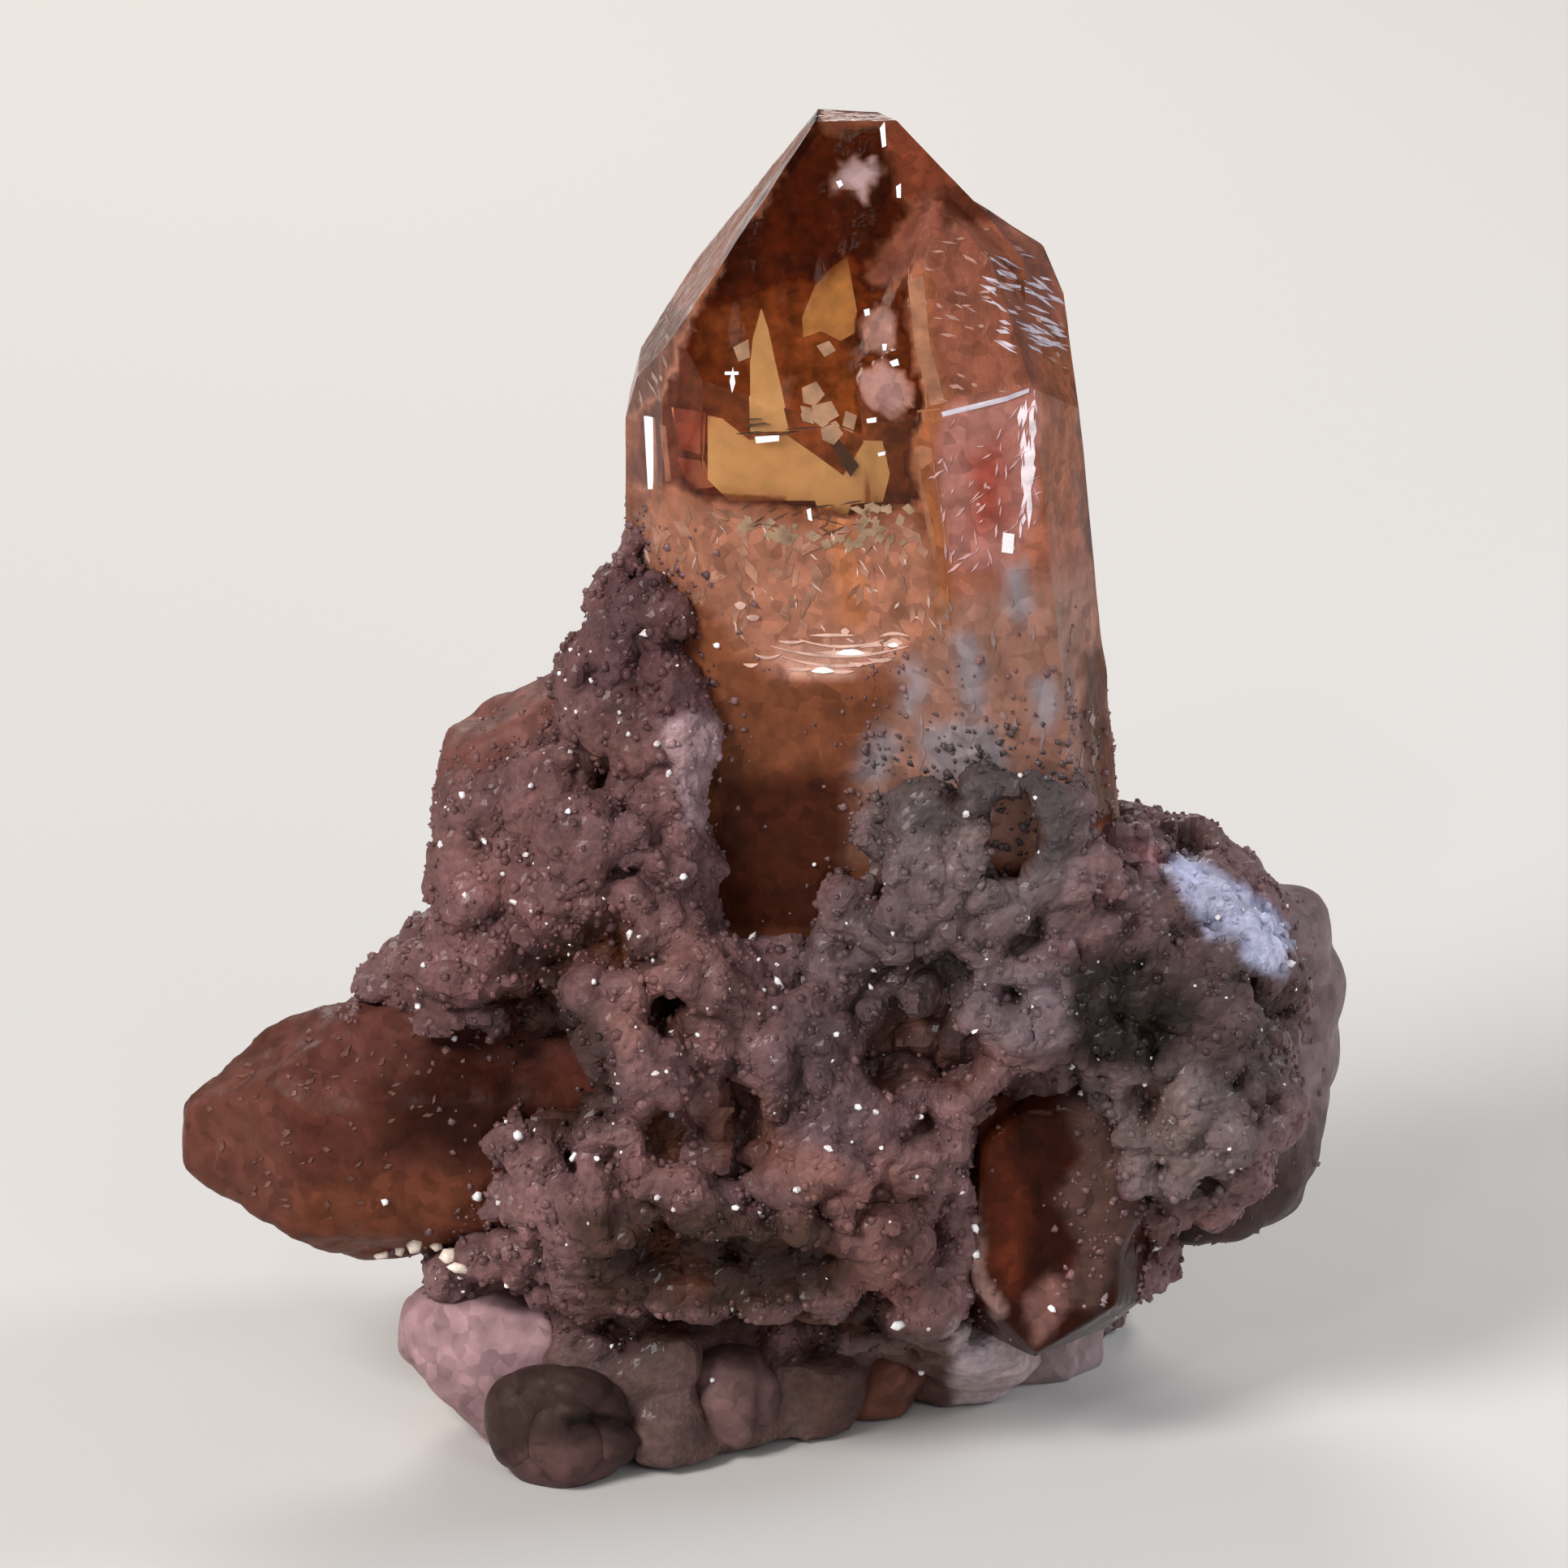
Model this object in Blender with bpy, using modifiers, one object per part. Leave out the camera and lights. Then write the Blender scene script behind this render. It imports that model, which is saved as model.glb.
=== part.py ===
"""A hand specimen of sherry topaz: clear brown crystals standing in a crusty matrix that is cut off flat below.

Run it with: blender --background --python part.py
The frame is in metres, +Z up, with the origin on the flat underside. The front of the specimen faces -Y.
Sizes below are in millimetres and are turned into metres by MM.
"""

import math

import bmesh
import bpy
from mathutils import Euler, Matrix, Vector

MM = 0.001

# Driving dimensions
GAP = 0.3  # between a crystal and the socket that it sits in
BASE_HEIGHT = 3.2  # of the slab that the specimen stands on
MATRIX_GRAIN = 0.95  # voxel that fuses the lumps into one crust
CRUST_RELIEF = 0.9  # height of the crust's small lumps
CRUST_LUMP = 1.9  # width of the crust's small lumps
CRUST_SWELL = 1.5  # height of the slow swelling under them
CRUST_SWELL_WIDTH = 6.0

# A crystal face is (azimuth, rise, distance). Azimuth 0 faces the front (-Y) and 90 faces +X; rise tilts the face
# up from vertical, both in degrees; distance is from the crystal's centre, in millimetres.
MAIN_FACES = (
    (-6, 0, 4.8),
    (-39, 0, 5.9),
    (-62, 0, 6.15),
    (-92, 0, 6.25),
    (-132, 0, 5.9),
    (176, 0, 4.6),
    (130, 0, 6.0),
    (92, 0, 5.6),
    (3, 26, 5.85),
    (-94, 34.5, 7.05),
    (-92, 15, 6.7),
    (-90, 62, 10.9),
    (84, 42, 9.6),
    (172, 28, 5.9),
    (120, 34, 7.6),
    (0, 90, 11.7),
    (0, -90, 16.4),
)
TWIN_FACES = (
    (3, 0, 3.8),
    (-24, 0, 4.2),
    (-88, 0, 3.7),
    (61, 0, 3.2),
    (92, 0, 2.85),
    (135, 0, 3.4),
    (180, 0, 4.2),
    (-120, 0, 4.4),
    (-6, 30, 6.5),
    (80, 43, 7.7),
    (74, 22, 4.9),
    (-74, 38, 7.9),
    (176, 30, 6.9),
    (0, 90, 11.8),
    (0, -90, 14.4),
)
LEFT_FACES = (
    (-4, 0, 3.2),
    (44, 0, 4.1),
    (90, 0, 4.6),
    (132, 0, 4.0),
    (180, 0, 3.4),
    (-132, 0, 3.8),
    (-90, 0, 3.5),
    (-46, 0, 3.6),
    (90, 30, 5.05),
    (-90, 31, 4.2),
    (-4, 32, 4.8),
    (176, 34, 4.9),
    (0, 90, 7.5),
    (0, -90, 5.4),
)
SHOULDER_FACES = (
    (-5, 0, 2.4),
    (-50, 0, 2.9),
    (-92, 0, 2.8),
    (-135, 0, 2.8),
    (175, 0, 2.2),
    (90, 0, 1.5),
    (-86, 44, 3.4),
    (-84, 66, 3.0),
    (10, 52, 3.9),
    (0, -90, 4.6),
)
LOWER_RIGHT_FACES = (
    (8, 0, 2.7),
    (-78, 0, 2.9),
    (-130, 0, 3.0),
    (175, 0, 3.0),
    (120, 0, 2.8),
    (66, 0, 3.0),
    (-66, 46, 3.8),
    (14, 52, 4.1),
    (78, 46, 4.5),
    (-56, -42, 4.3),
    (55, -48, 4.4),
    (0, 90, 4.3),
    (0, -90, 5.0),
)
REAR_RIGHT_FACES = (
    (-15, 0, 2.8),
    (38, 0, 3.3),
    (84, 9, 3.7),
    (84, -12, 3.6),
    (130, 0, 3.2),
    (180, 0, 2.6),
    (-130, 0, 3.2),
    (-90, 0, 2.0),
    (76, 42, 4.7),
    (-20, 58, 4.9),
    (165, 38, 4.3),
    (0, 90, 4.3),
    (0, -90, 5.6),
)
LOWER_REAR_FACES = (
    (-10, 0, 2.8),
    (36, 0, 3.2),
    (80, 0, 3.6),
    (130, 0, 3.2),
    (180, 0, 3.2),
    (-95, 0, 0.5),
    (75, -38, 3.0),
    (70, -63, 2.4),
    (40, 46, 4.2),
    (155, -30, 3.4),
    (0, 90, 4.4),
    (0, -90, 3.3),
)
MILKY_FACES = (
    (-84, 0, 2.3),
    (-125, 0, 2.6),
    (176, 0, 2.4),
    (95, 0, 2.6),
    (-3, 0, 1.3),
    (-44, 0, 2.2),
    (-80, -44, 1.7),
    (-60, 60, 2.3),
    (0, 90, 1.9),
    (0, -90, 3.0),
)
FOOT_LEFT_FACES = (
    (-24, 10, 1.5),
    (30, 6, 1.7),
    (85, 0, 2.4),
    (178, 0, 0.6),
    (-88, 0, 2.3),
    (-50, 44, 2.6),
    (40, 48, 2.5),
    (-72, -46, 2.5),
    (56, -50, 2.7),
    (0, 90, 2.1),
    (0, -90, 3.0),
)
FOOT_FACES = (
    (-20, 8, 1.0),
    (34, 0, 1.05),
    (80, 0, 1.15),
    (135, 0, 1.1),
    (-150, 0, 1.0),
    (-85, 0, 1.1),
    (-30, 44, 1.2),
    (60, 40, 1.25),
    (170, 45, 1.3),
    (-60, -44, 1.25),
    (30, -52, 1.3),
    (0, 90, 1.1),
    (0, -90, 1.2),
)

# Crystals by node: convex parts, each (faces, size factor, centre in mm, tilt in degrees about X, Y and Z).
CRYSTALS = {
    "main_crystal": [
        (MAIN_FACES, 1.0, (1.0, 0.5, 30.0), (0, 0, 0)),
        (TWIN_FACES, 1.0, (6.0, -1.5, 28.0), (0, -6, 0)),
    ],
    "left_crystal": [(LEFT_FACES, 1.0, (-11.6, -1.6, 9.4), (4, -92, 0))],
    "shoulder_crystal": [(SHOULDER_FACES, 1.0, (-8.2, -0.6, 20.2), (0, 0, 0))],
    "lower_right_crystal": [(LOWER_RIGHT_FACES, 1.0, (7.7, -3.0, 8.4), (-6, 4, 0))],
    "rear_right_crystal": [
        (REAR_RIGHT_FACES, 1.0, (13.2, 3.4, 11.5), (0, 0, 0)),
        (LOWER_REAR_FACES, 1.0, (12.4, 1.6, 7.4), (0, 0, 0)),
    ],
    "milky_crystal": [(MILKY_FACES, 1.0, (-10.1, -3.5, 3.0), (0, 0, 0))],
    "foot_crystal_left": [
        (FOOT_LEFT_FACES, 1.0, (-7.3, -5.9, 1.6), (0, 0, 0)),
        (FOOT_FACES, 1.2, (-6.6, -6.3, 0.4), (0, 0, 30)),
    ],
    "foot_crystal_middle": [(FOOT_FACES, 1.35, (-2.2, -4.0, 2.6), (0, 0, 20))],
    "foot_crystal_centre": [(FOOT_FACES, 1.3, (2.4, -1.3, 1.2), (0, 20, -10))],
    "foot_crystal_right": [(FOOT_FACES, 2.0, (7.3, 2.6, 0.0), (0, 0, -30))],
}

# Lumps of the crust: centre and radii in millimetres.
LUMPS = (
    # column up the left side of the main crystal
    ((-4.0, -1.4, 26.2), (1.9, 2.8, 3.2)),
    ((-4.4, -1.8, 23.4), (2.9, 3.4, 3.2)),
    ((-7.2, -1.2, 20.0), (3.2, 3.0, 3.2)),
    ((-7.9, -1.4, 16.8), (3.2, 3.4, 3.0)),
    ((-5.4, -3.2, 19.8), (2.8, 3.0, 3.4)),
    ((-6.0, -4.2, 16.8), (2.8, 2.8, 3.0)),
    ((-9.0, -1.0, 14.2), (3.4, 3.8, 3.2)),
    ((-11.0, -1.0, 12.9), (2.9, 2.8, 2.7)),
    # body under the crystals
    ((-0.6, 1.0, 12.5), (8.4, 6.6, 8.0)),
    ((-6.0, -0.5, 9.0), (5.6, 6.4, 6.0)),
    ((5.6, 0.0, 8.0), (6.0, 5.6, 6.0)),
    ((1.0, 4.0, 16.4), (6.6, 4.6, 5.0)),
    ((6.0, 5.0, 9.6), (6.2, 4.8, 6.4)),
    ((-4.6, 5.0, 8.8), (5.4, 4.8, 6.2)),
    ((-6.0, 3.4, 16.4), (4.0, 3.4, 4.6)),
    ((-8.0, -1.6, 6.0), (3.4, 3.6, 3.0)),
    # ridges and ledges on the front
    ((-4.2, -6.4, 14.6), (2.2, 2.4, 3.2)),
    ((-4.4, -6.4, 10.6), (2.8, 2.6, 2.8)),
    ((0.6, -5.6, 12.8), (2.2, 2.4, 3.4)),
    ((0.8, -6.2, 9.6), (2.8, 2.4, 2.6)),
    ((3.6, -3.6, 12.4), (4.2, 3.8, 4.4)),
    ((-1.6, -5.8, 7.8), (4.6, 3.0, 2.4)),
    ((3.4, -3.0, 6.4), (4.0, 3.2, 2.8)),
    # crust that climbs the twin crystal
    ((5.4, -4.6, 18.6), (4.4, 2.4, 3.2)),
    ((6.6, -4.2, 21.6), (2.8, 2.4, 2.8)),
    ((8.2, -3.0, 18.6), (1.8, 2.4, 3.0)),
    ((7.6, -4.6, 15.4), (3.4, 2.8, 2.6)),
    ((3.0, -4.4, 16.4), (2.2, 2.0, 2.8)),
    # lobe on the right
    ((10.4, -1.4, 15.0), (4.6, 4.6, 4.2)),
    ((12.2, -1.4, 14.4), (3.2, 3.6, 3.6)),
    ((11.2, -2.6, 11.0), (3.8, 3.4, 3.8)),
    ((11.8, -0.8, 9.0), (3.0, 3.0, 3.0)),
    ((9.4, -0.2, 6.8), (3.4, 3.4, 3.0)),
)

# Hollows of the crust, cut after it is fused.
PITS = (
    ((-1.8, -8.2, 12.2), (0.9, 2.0, 1.5)),
    ((-4.1, -8.8, 16.2), (0.55, 1.3, 0.55)),
    ((-7.8, -5.6, 13.1), (1.9, 2.2, 1.7)),
    ((6.4, -6.4, 21.2), (0.7, 1.6, 1.3)),
    ((4.5, -6.2, 22.6), (0.5, 1.0, 0.6)),
    ((-2.0, -9.2, 7.7), (3.7, 1.9, 1.4)),
    ((3.8, -7.6, 14.2), (1.7, 2.4, 1.2)),
    ((-6.6, -7.0, 10.8), (1.2, 1.6, 1.0)),
    ((-1.0, -8.2, 4.6), (3.6, 3.0, 0.7)),
    ((12.2, -5.0, 9.2), (0.8, 1.0, 0.4)),
)

# The slab's outline on the ground, counter-clockwise from the rear left.
FOOTPRINT = (
    (-7.0, 8.4),
    (-9.8, 2.0),
    (-9.5, -4.0),
    (-8.2, -6.4),
    (-5.0, -6.0),
    (0.6, -2.8),
    (7.6, 1.2),
    (9.8, 3.2),
    (10.0, 6.4),
    (4.0, 9.2),
)

MATERIALS = {
    "sherry_topaz": ((0.42, 0.14, 0.05), 0.08, 0.0),
    "etched_topaz": ((0.30, 0.11, 0.06), 0.35, 0.0),
    "smoky_topaz": ((0.30, 0.22, 0.20), 0.35, 0.0),
    "crust": ((0.23, 0.15, 0.14), 0.75, 0.0),
}
NODE_MATERIALS = {
    "main_crystal": "sherry_topaz",
    "left_crystal": "etched_topaz",
    "shoulder_crystal": "etched_topaz",
    "lower_right_crystal": "sherry_topaz",
    "rear_right_crystal": "smoky_topaz",
    "milky_crystal": "smoky_topaz",
    "foot_crystal_left": "smoky_topaz",
    "foot_crystal_middle": "smoky_topaz",
    "foot_crystal_centre": "etched_topaz",
    "foot_crystal_right": "smoky_topaz",
    "matrix": "crust",
}


def clear_scene():
    for obj in list(bpy.data.objects):
        bpy.data.objects.remove(obj)


def new_collection(name):
    made = bpy.data.collections.new(name)
    bpy.context.scene.collection.children.link(made)
    return made


def material(name):
    colour, roughness, metallic = MATERIALS[name]
    made = bpy.data.materials.get(name) or bpy.data.materials.new(name)
    made.use_nodes = True
    shader = made.node_tree.nodes["Principled BSDF"]
    shader.inputs["Base Color"].default_value = (*colour, 1.0)
    shader.inputs["Roughness"].default_value = roughness
    shader.inputs["Metallic"].default_value = metallic
    return made


def new_object(name, mesh_builder, collection):
    """Turns a bmesh into an object of the same name, and frees the bmesh."""
    mesh = bpy.data.meshes.new(name)
    mesh_builder.to_mesh(mesh)
    mesh_builder.free()
    made = bpy.data.objects.new(name, mesh)
    collection.objects.link(made)
    return made


def make_cutter(obj):
    obj.hide_render = True
    obj.display_type = "WIRE"
    return obj


def face_normal(azimuth, rise):
    a = math.radians(azimuth)
    r = math.radians(rise)
    return Vector((math.sin(a) * math.cos(r), -math.cos(a) * math.cos(r), math.sin(r)))


def cut_convex(part, point, normal):
    """Takes off what lies beyond a plane, and closes the cut with one face."""
    cut = bmesh.ops.bisect_plane(
        part,
        geom=part.verts[:] + part.edges[:] + part.faces[:],
        plane_co=point,
        plane_no=normal,
        clear_outer=True,
    )
    rim = [item for item in cut["geom_cut"] if isinstance(item, bmesh.types.BMEdge)]
    if len(rim) > 2:
        bmesh.ops.contextual_create(part, geom=rim)


def add_convex_part(faces, size, centre, tilt, grow):
    """A block cut back by each of the crystal's faces, placed, tilted and cut at the ground.

    Grow moves every face outward.
    """
    part = bmesh.new()
    reach = 4 * max(distance for _, _, distance in faces) * size * MM
    bmesh.ops.create_cube(part, size=reach)
    for azimuth, rise, distance in faces:
        normal = face_normal(azimuth, rise)
        cut_convex(part, normal * (distance * size + grow) * MM, normal)
    turn = Euler([math.radians(angle) for angle in tilt]).to_matrix().to_4x4()
    bmesh.ops.transform(part, matrix=Matrix.Translation(Vector(centre) * MM) @ turn, verts=part.verts)
    cut_convex(part, Vector((0, 0, -grow * MM)), Vector((0, 0, -1)))
    bmesh.ops.recalc_face_normals(part, faces=part.faces)
    return part


def add_ellipsoid(target, centre, radii, subdivisions):
    place = Matrix.Translation(Vector(centre) * MM) @ Matrix.Diagonal((*(r * MM for r in radii), 1.0))
    bmesh.ops.create_icosphere(target, subdivisions=subdivisions, radius=1.0, matrix=place)


def add_slab(target):
    """The slab that carries the crust: its footprint, raised by BASE_HEIGHT."""
    bottom = [target.verts.new(Vector((x, y, -1.0)) * MM) for x, y in FOOTPRINT]
    face = target.faces.new(bottom)
    raised = bmesh.ops.extrude_face_region(target, geom=[face])["geom"]
    top = [item for item in raised if isinstance(item, bmesh.types.BMVert)]
    bmesh.ops.translate(target, verts=top, vec=Vector((0, 0, BASE_HEIGHT + 1.0)) * MM)
    bmesh.ops.recalc_face_normals(target, faces=target.faces)


def add_relief(obj, name, kind, width, height):
    """Displaces a crust along its normals by a procedural pattern."""
    texture = bpy.data.textures.new(name, kind)
    texture.noise_scale = width * MM
    relief = obj.modifiers.new(name, "DISPLACE")
    relief.texture = texture
    relief.texture_coords = "LOCAL"
    relief.strength = height * MM
    relief.mid_level = 0.5


def add_boolean(obj, name, operation, other):
    modifier = obj.modifiers.new(name, "BOOLEAN")
    modifier.operation = operation
    modifier.solver = "EXACT"
    if isinstance(other, bpy.types.Collection):
        modifier.operand_type = "COLLECTION"
        modifier.collection = other
    else:
        modifier.object = other


def build_crystal(name, parts, specimen, helpers, sockets):
    """One crystal, or several grown into each other, and the socket that it leaves in the crust."""
    body = None
    for number, (faces, size, centre, tilt) in enumerate(parts):
        solid = add_convex_part(faces, size, centre, tilt, 0.0)
        if body is None:
            body = new_object(name, solid, specimen)
            body.data.materials.append(material(NODE_MATERIALS[name]))
        else:
            grown = make_cutter(new_object(f"{name}_part_{number}", solid, helpers))
            add_boolean(body, f"join_{number}", "UNION", grown)
        socket = add_convex_part(faces, size, centre, tilt, GAP)
        make_cutter(new_object(f"{name}_socket_{number}", socket, sockets))
    return body


def build_matrix(specimen, helpers, sockets):
    """The crust: lumps fused over a slab, roughened, cut flat below, with pits and the crystals' sockets."""
    rough = bmesh.new()
    for centre, radii in LUMPS:
        add_ellipsoid(rough, centre, radii, 3)
    add_slab(rough)
    crust = new_object("matrix", rough, specimen)
    crust.data.materials.append(material(NODE_MATERIALS["matrix"]))
    fuse = crust.modifiers.new("fuse", "REMESH")
    fuse.mode = "VOXEL"
    fuse.voxel_size = MATRIX_GRAIN * MM
    add_relief(crust, "crust_swell", "CLOUDS", CRUST_SWELL_WIDTH, CRUST_SWELL)
    add_relief(crust, "crust_lumps", "VORONOI", CRUST_LUMP, CRUST_RELIEF)
    for number, (centre, radii) in enumerate(PITS):
        pit = bmesh.new()
        add_ellipsoid(pit, centre, radii, 2)
        make_cutter(new_object(f"pit_{number}", pit, sockets))
    ground = bmesh.new()
    bmesh.ops.create_cube(ground, size=60 * MM, matrix=Matrix.Translation(Vector((0, 0, -30)) * MM))
    make_cutter(new_object("ground", ground, sockets))
    add_boolean(crust, "hollows", "DIFFERENCE", sockets)
    return crust


def main():
    clear_scene()
    specimen = new_collection("topaz_specimen")
    helpers = new_collection("helpers")
    sockets = new_collection("sockets")
    for name, parts in CRYSTALS.items():
        build_crystal(name, parts, specimen, helpers, sockets)
    build_matrix(specimen, helpers, sockets)


main()
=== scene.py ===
"""The looks of a hand specimen of sherry topaz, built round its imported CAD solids.

Lengths are in millimetres and turned into metres by MM. The front of the specimen faces -Y.
"""

import itertools
import math

import bmesh
import bpy
import numpy as np
from mathutils import Matrix, Vector
from mathutils.bvhtree import BVHTree


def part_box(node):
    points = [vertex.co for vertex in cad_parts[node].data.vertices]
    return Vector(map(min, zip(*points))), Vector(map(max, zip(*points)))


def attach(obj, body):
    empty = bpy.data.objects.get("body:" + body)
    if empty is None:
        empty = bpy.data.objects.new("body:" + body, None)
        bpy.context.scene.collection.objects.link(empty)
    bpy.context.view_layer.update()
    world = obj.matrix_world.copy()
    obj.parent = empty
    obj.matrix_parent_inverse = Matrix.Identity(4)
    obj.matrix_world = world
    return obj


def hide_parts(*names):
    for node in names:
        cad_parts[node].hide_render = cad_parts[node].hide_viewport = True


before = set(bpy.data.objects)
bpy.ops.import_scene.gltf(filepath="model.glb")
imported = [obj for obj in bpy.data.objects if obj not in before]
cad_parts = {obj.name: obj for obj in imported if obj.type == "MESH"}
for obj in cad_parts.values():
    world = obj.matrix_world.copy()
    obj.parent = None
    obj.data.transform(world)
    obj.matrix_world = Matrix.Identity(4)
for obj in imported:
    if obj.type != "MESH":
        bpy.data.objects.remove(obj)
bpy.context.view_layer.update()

MM = 0.001
SEED = 20

# The camera sees the specimen from slightly above, in a square frame. Outlines are in pixels of this frame.
VIEW_ELEVATION = math.radians(20.0)
VIEW_DISTANCE = 260.0
VIEW_TARGET = Vector((-0.5, 0.0, 20.5))
VIEW_WIDTH = 48.3
SENSOR_WIDTH = 36.0
FRAME_SIDE = 1932

FORWARD = Vector((0, math.cos(VIEW_ELEVATION), -math.sin(VIEW_ELEVATION)))
UPWARD = Vector((0, math.sin(VIEW_ELEVATION), math.cos(VIEW_ELEVATION)))
EYE = VIEW_TARGET - FORWARD * VIEW_DISTANCE
AXES = (Vector((1, 0, 0)), Vector((0, 1, 0)), Vector((0, 0, 1)))
TOPAZ_IOR = 1.62

# How bright a white surface that faces the lights comes out, and the lightest colour that a surface may have.
LIT = 0.95
MOST_WHITE = 0.9
# Farther than any pixel is from an outline.
FAR = 1e9


# ---------------------------------------------------------------- colours and places


def rows(text):
    """Rows of numbers, such as an outline's pixels: a space parts the rows, and a comma their numbers."""
    return [tuple(float(number) for number in row.split(",")) for row in text.split()]


def outlines(text):
    """Outlines written one to a line."""
    return [rows(line) for line in text.strip().splitlines()]


def linear(colour):
    """An sRGB colour, 0 to 255, as linear light."""
    shares = np.array(colour) / 255
    return np.where(shares <= 0.04045, shares / 12.92, ((shares + 0.055) / 1.055) ** 2.4)


def surface(colour):
    """The surface colour that comes out as this sRGB colour under the lights."""
    return np.minimum(linear(colour) / LIT, MOST_WHITE)


def view_ray(px, py):
    """The direction in which the camera sees a pixel."""
    per_pixel = VIEW_WIDTH / FRAME_SIDE
    across = (px - FRAME_SIDE / 2) * per_pixel
    up = (FRAME_SIDE / 2 - py) * per_pixel
    return (FORWARD * VIEW_DISTANCE + Vector((across, 0, 0)) + UPWARD * up).normalized()


def face_plane(centre, azimuth, rise, distance):
    """A crystal face's point and outward normal, from the numbers that the solid is cut by."""
    a = math.radians(azimuth)
    r = math.radians(rise)
    normal = Vector((math.sin(a) * math.cos(r), -math.cos(a) * math.cos(r), math.sin(r)))
    return Vector(centre) + normal * distance, normal


def seen_inside(px, py, plane, depth):
    """Where a pixel's ray is once it has passed a crystal face and gone on to a depth behind it."""
    point, normal = plane
    ray = view_ray(px, py)
    entry = EYE + ray * ((point - EYE).dot(normal) / ray.dot(normal))
    facing = -ray.dot(normal)
    turned = math.sqrt(1 - (1 - facing * facing) / TOPAZ_IOR**2)
    bent = ray / TOPAZ_IOR + normal * (facing / TOPAZ_IOR - turned)
    return entry + bent * (depth / -bent.dot(normal))


def seen_at(points):
    """The pixel at which each point is seen."""
    offset = points - np.array(EYE)
    per_unit = FRAME_SIDE / VIEW_WIDTH * VIEW_DISTANCE / (offset @ np.array(FORWARD))
    return FRAME_SIDE / 2 + offset[:, 0] * per_unit, FRAME_SIDE / 2 - offset @ np.array(UPWARD) * per_unit


def edges_of(outline):
    """The two ends of each edge of a closed outline."""
    return zip(outline, outline[1:] + outline[:1])


def in_outline(points, outline, blur):
    """1 where a point is seen inside an outline and 0 outside it, with an edge this many pixels wide."""
    px, py = seen_at(points)
    inside = np.zeros(len(points), bool)
    nearest = np.full(len(points), FAR)
    for (ax, ay), (bx, by) in edges_of(outline):
        crosses = (ay > py) != (by > py)
        inside ^= crosses & (px < (bx - ax) * (py - ay) / (by - ay if by != ay else 1) + ax)
        length = (bx - ax) ** 2 + (by - ay) ** 2
        along = np.clip(((px - ax) * (bx - ax) + (py - ay) * (by - ay)) / length, 0, 1)
        nearest = np.minimum(nearest, np.hypot(px - ax - along * (bx - ax), py - ay - along * (by - ay)))
    return smoothstep(-blur, blur, np.where(inside, nearest, -nearest))


def pixel_inside(pixel, outline):
    """Whether a pixel lies inside an outline."""
    inside = False
    px, py = pixel
    for (ax, ay), (bx, by) in edges_of(outline):
        if (ay > py) != (by > py) and px < (bx - ax) * (py - ay) / (by - ay) + ax:
            inside = not inside
    return inside


def tree_of(*meshes):
    """A search tree of the faces of some meshes, in millimetres."""
    points, triangles, start = [], [], 0
    for mesh in meshes:
        points.append(points_of(mesh))
        triangles.append(triangles_of(mesh) + start)
        start += len(mesh.vertices)
    return BVHTree.FromPolygons(np.vstack(points).tolist(), np.vstack(triangles).tolist())


def depth_below(tree, points):
    """How far each point lies outside (+) or inside (-) the tree's surface."""
    depths = np.empty(len(points))
    for number, point in enumerate(points.tolist()):
        near, normal, _, gap = tree.find_nearest(point)
        depths[number] = math.copysign(gap, (Vector(point) - near).dot(normal))
    return depths


# ---------------------------------------------------------------- noise


def smoothstep(low, high, value):
    """From 0 at low to 1 at high, and eased at both ends."""
    t = np.clip((value - low) / (high - low), 0, 1)
    return t * t * (3 - 2 * t)


def mixed(first, second, share):
    """Each point's own mix of two values or colours: all first at share 0, and all second at 1."""
    if first.ndim > 1:
        share = share[:, None]
    return first * (1 - share) + second * share


def cell_random(cells, seed):
    """An even random number from 0 to 1 for each whole-number cell."""
    hashed = (cells * np.array([73856093, 19349663, 83492791], np.int64)).sum(-1) + seed * 2654435761
    hashed = (hashed ^ (hashed >> 15)) * 2246822519 & 0xFFFFFFFF
    hashed = (hashed ^ (hashed >> 13)) * 3266489917 & 0xFFFFFFFF
    return (hashed ^ (hashed >> 16)) / 0xFFFFFFFF


def soft_noise(points, width, seed):
    """Smooth noise from -1 to 1 with features of about this width."""
    place = points / width
    cell = np.floor(place).astype(np.int64)
    share = place - cell
    share = share * share * (3 - 2 * share)
    total = np.zeros(len(points))
    for corner in itertools.product((0, 1), repeat=3):
        weight = np.prod(np.where(corner, share, 1 - share), axis=1)
        total += weight * cell_random(cell + corner, seed)
    return total * 2 - 1


def layered_noise(points, width, seed):
    """Noise from -1 to 1 with features of this width, of half of it and of a quarter of it."""
    return sum(soft_noise(points, width / 2**layer, seed + layer) / 2**layer for layer in range(3)) / 1.75


def noise_vector(points, width, seed):
    """Layered noise along each axis."""
    return np.stack([layered_noise(points, width, seed + axis) for axis in range(3)], axis=1)


# The level of a knob that stays in place when it is laid on a surface.
KNOB_MIDDLE = 0.6


def knobs(points, width, seed):
    """Round knobs packed side by side: 1 on top of a knob, down to 0 in the groove between two."""
    place = points / width
    cell = np.floor(place).astype(np.int64)
    nearest = np.full(len(points), FAR)
    for step in itertools.product((-1, 0, 1), repeat=3):
        other = cell + step
        centre = np.stack([cell_random(other, seed + axis) for axis in range(3)], axis=1)
        gap = other + centre - place
        nearest = np.minimum(nearest, (gap * gap).sum(1))
    return np.sqrt(np.clip(1 - nearest, 0, 1))


def knobbly(points, layers):
    """Relief made of layers of knobs, each of a width, a height and a seed."""
    return sum((knobs(points, width, seed) - KNOB_MIDDLE) * height for width, height, seed in layers)


def in_region(points, centre, radii, blur=0.3):
    """1 inside an ellipsoid and 0 outside it, with a blurred edge."""
    reach = np.sqrt((((points - np.array(centre)) / np.array(radii)) ** 2).sum(1))
    return 1 - smoothstep(1 - blur, 1 + blur, reach)


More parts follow.
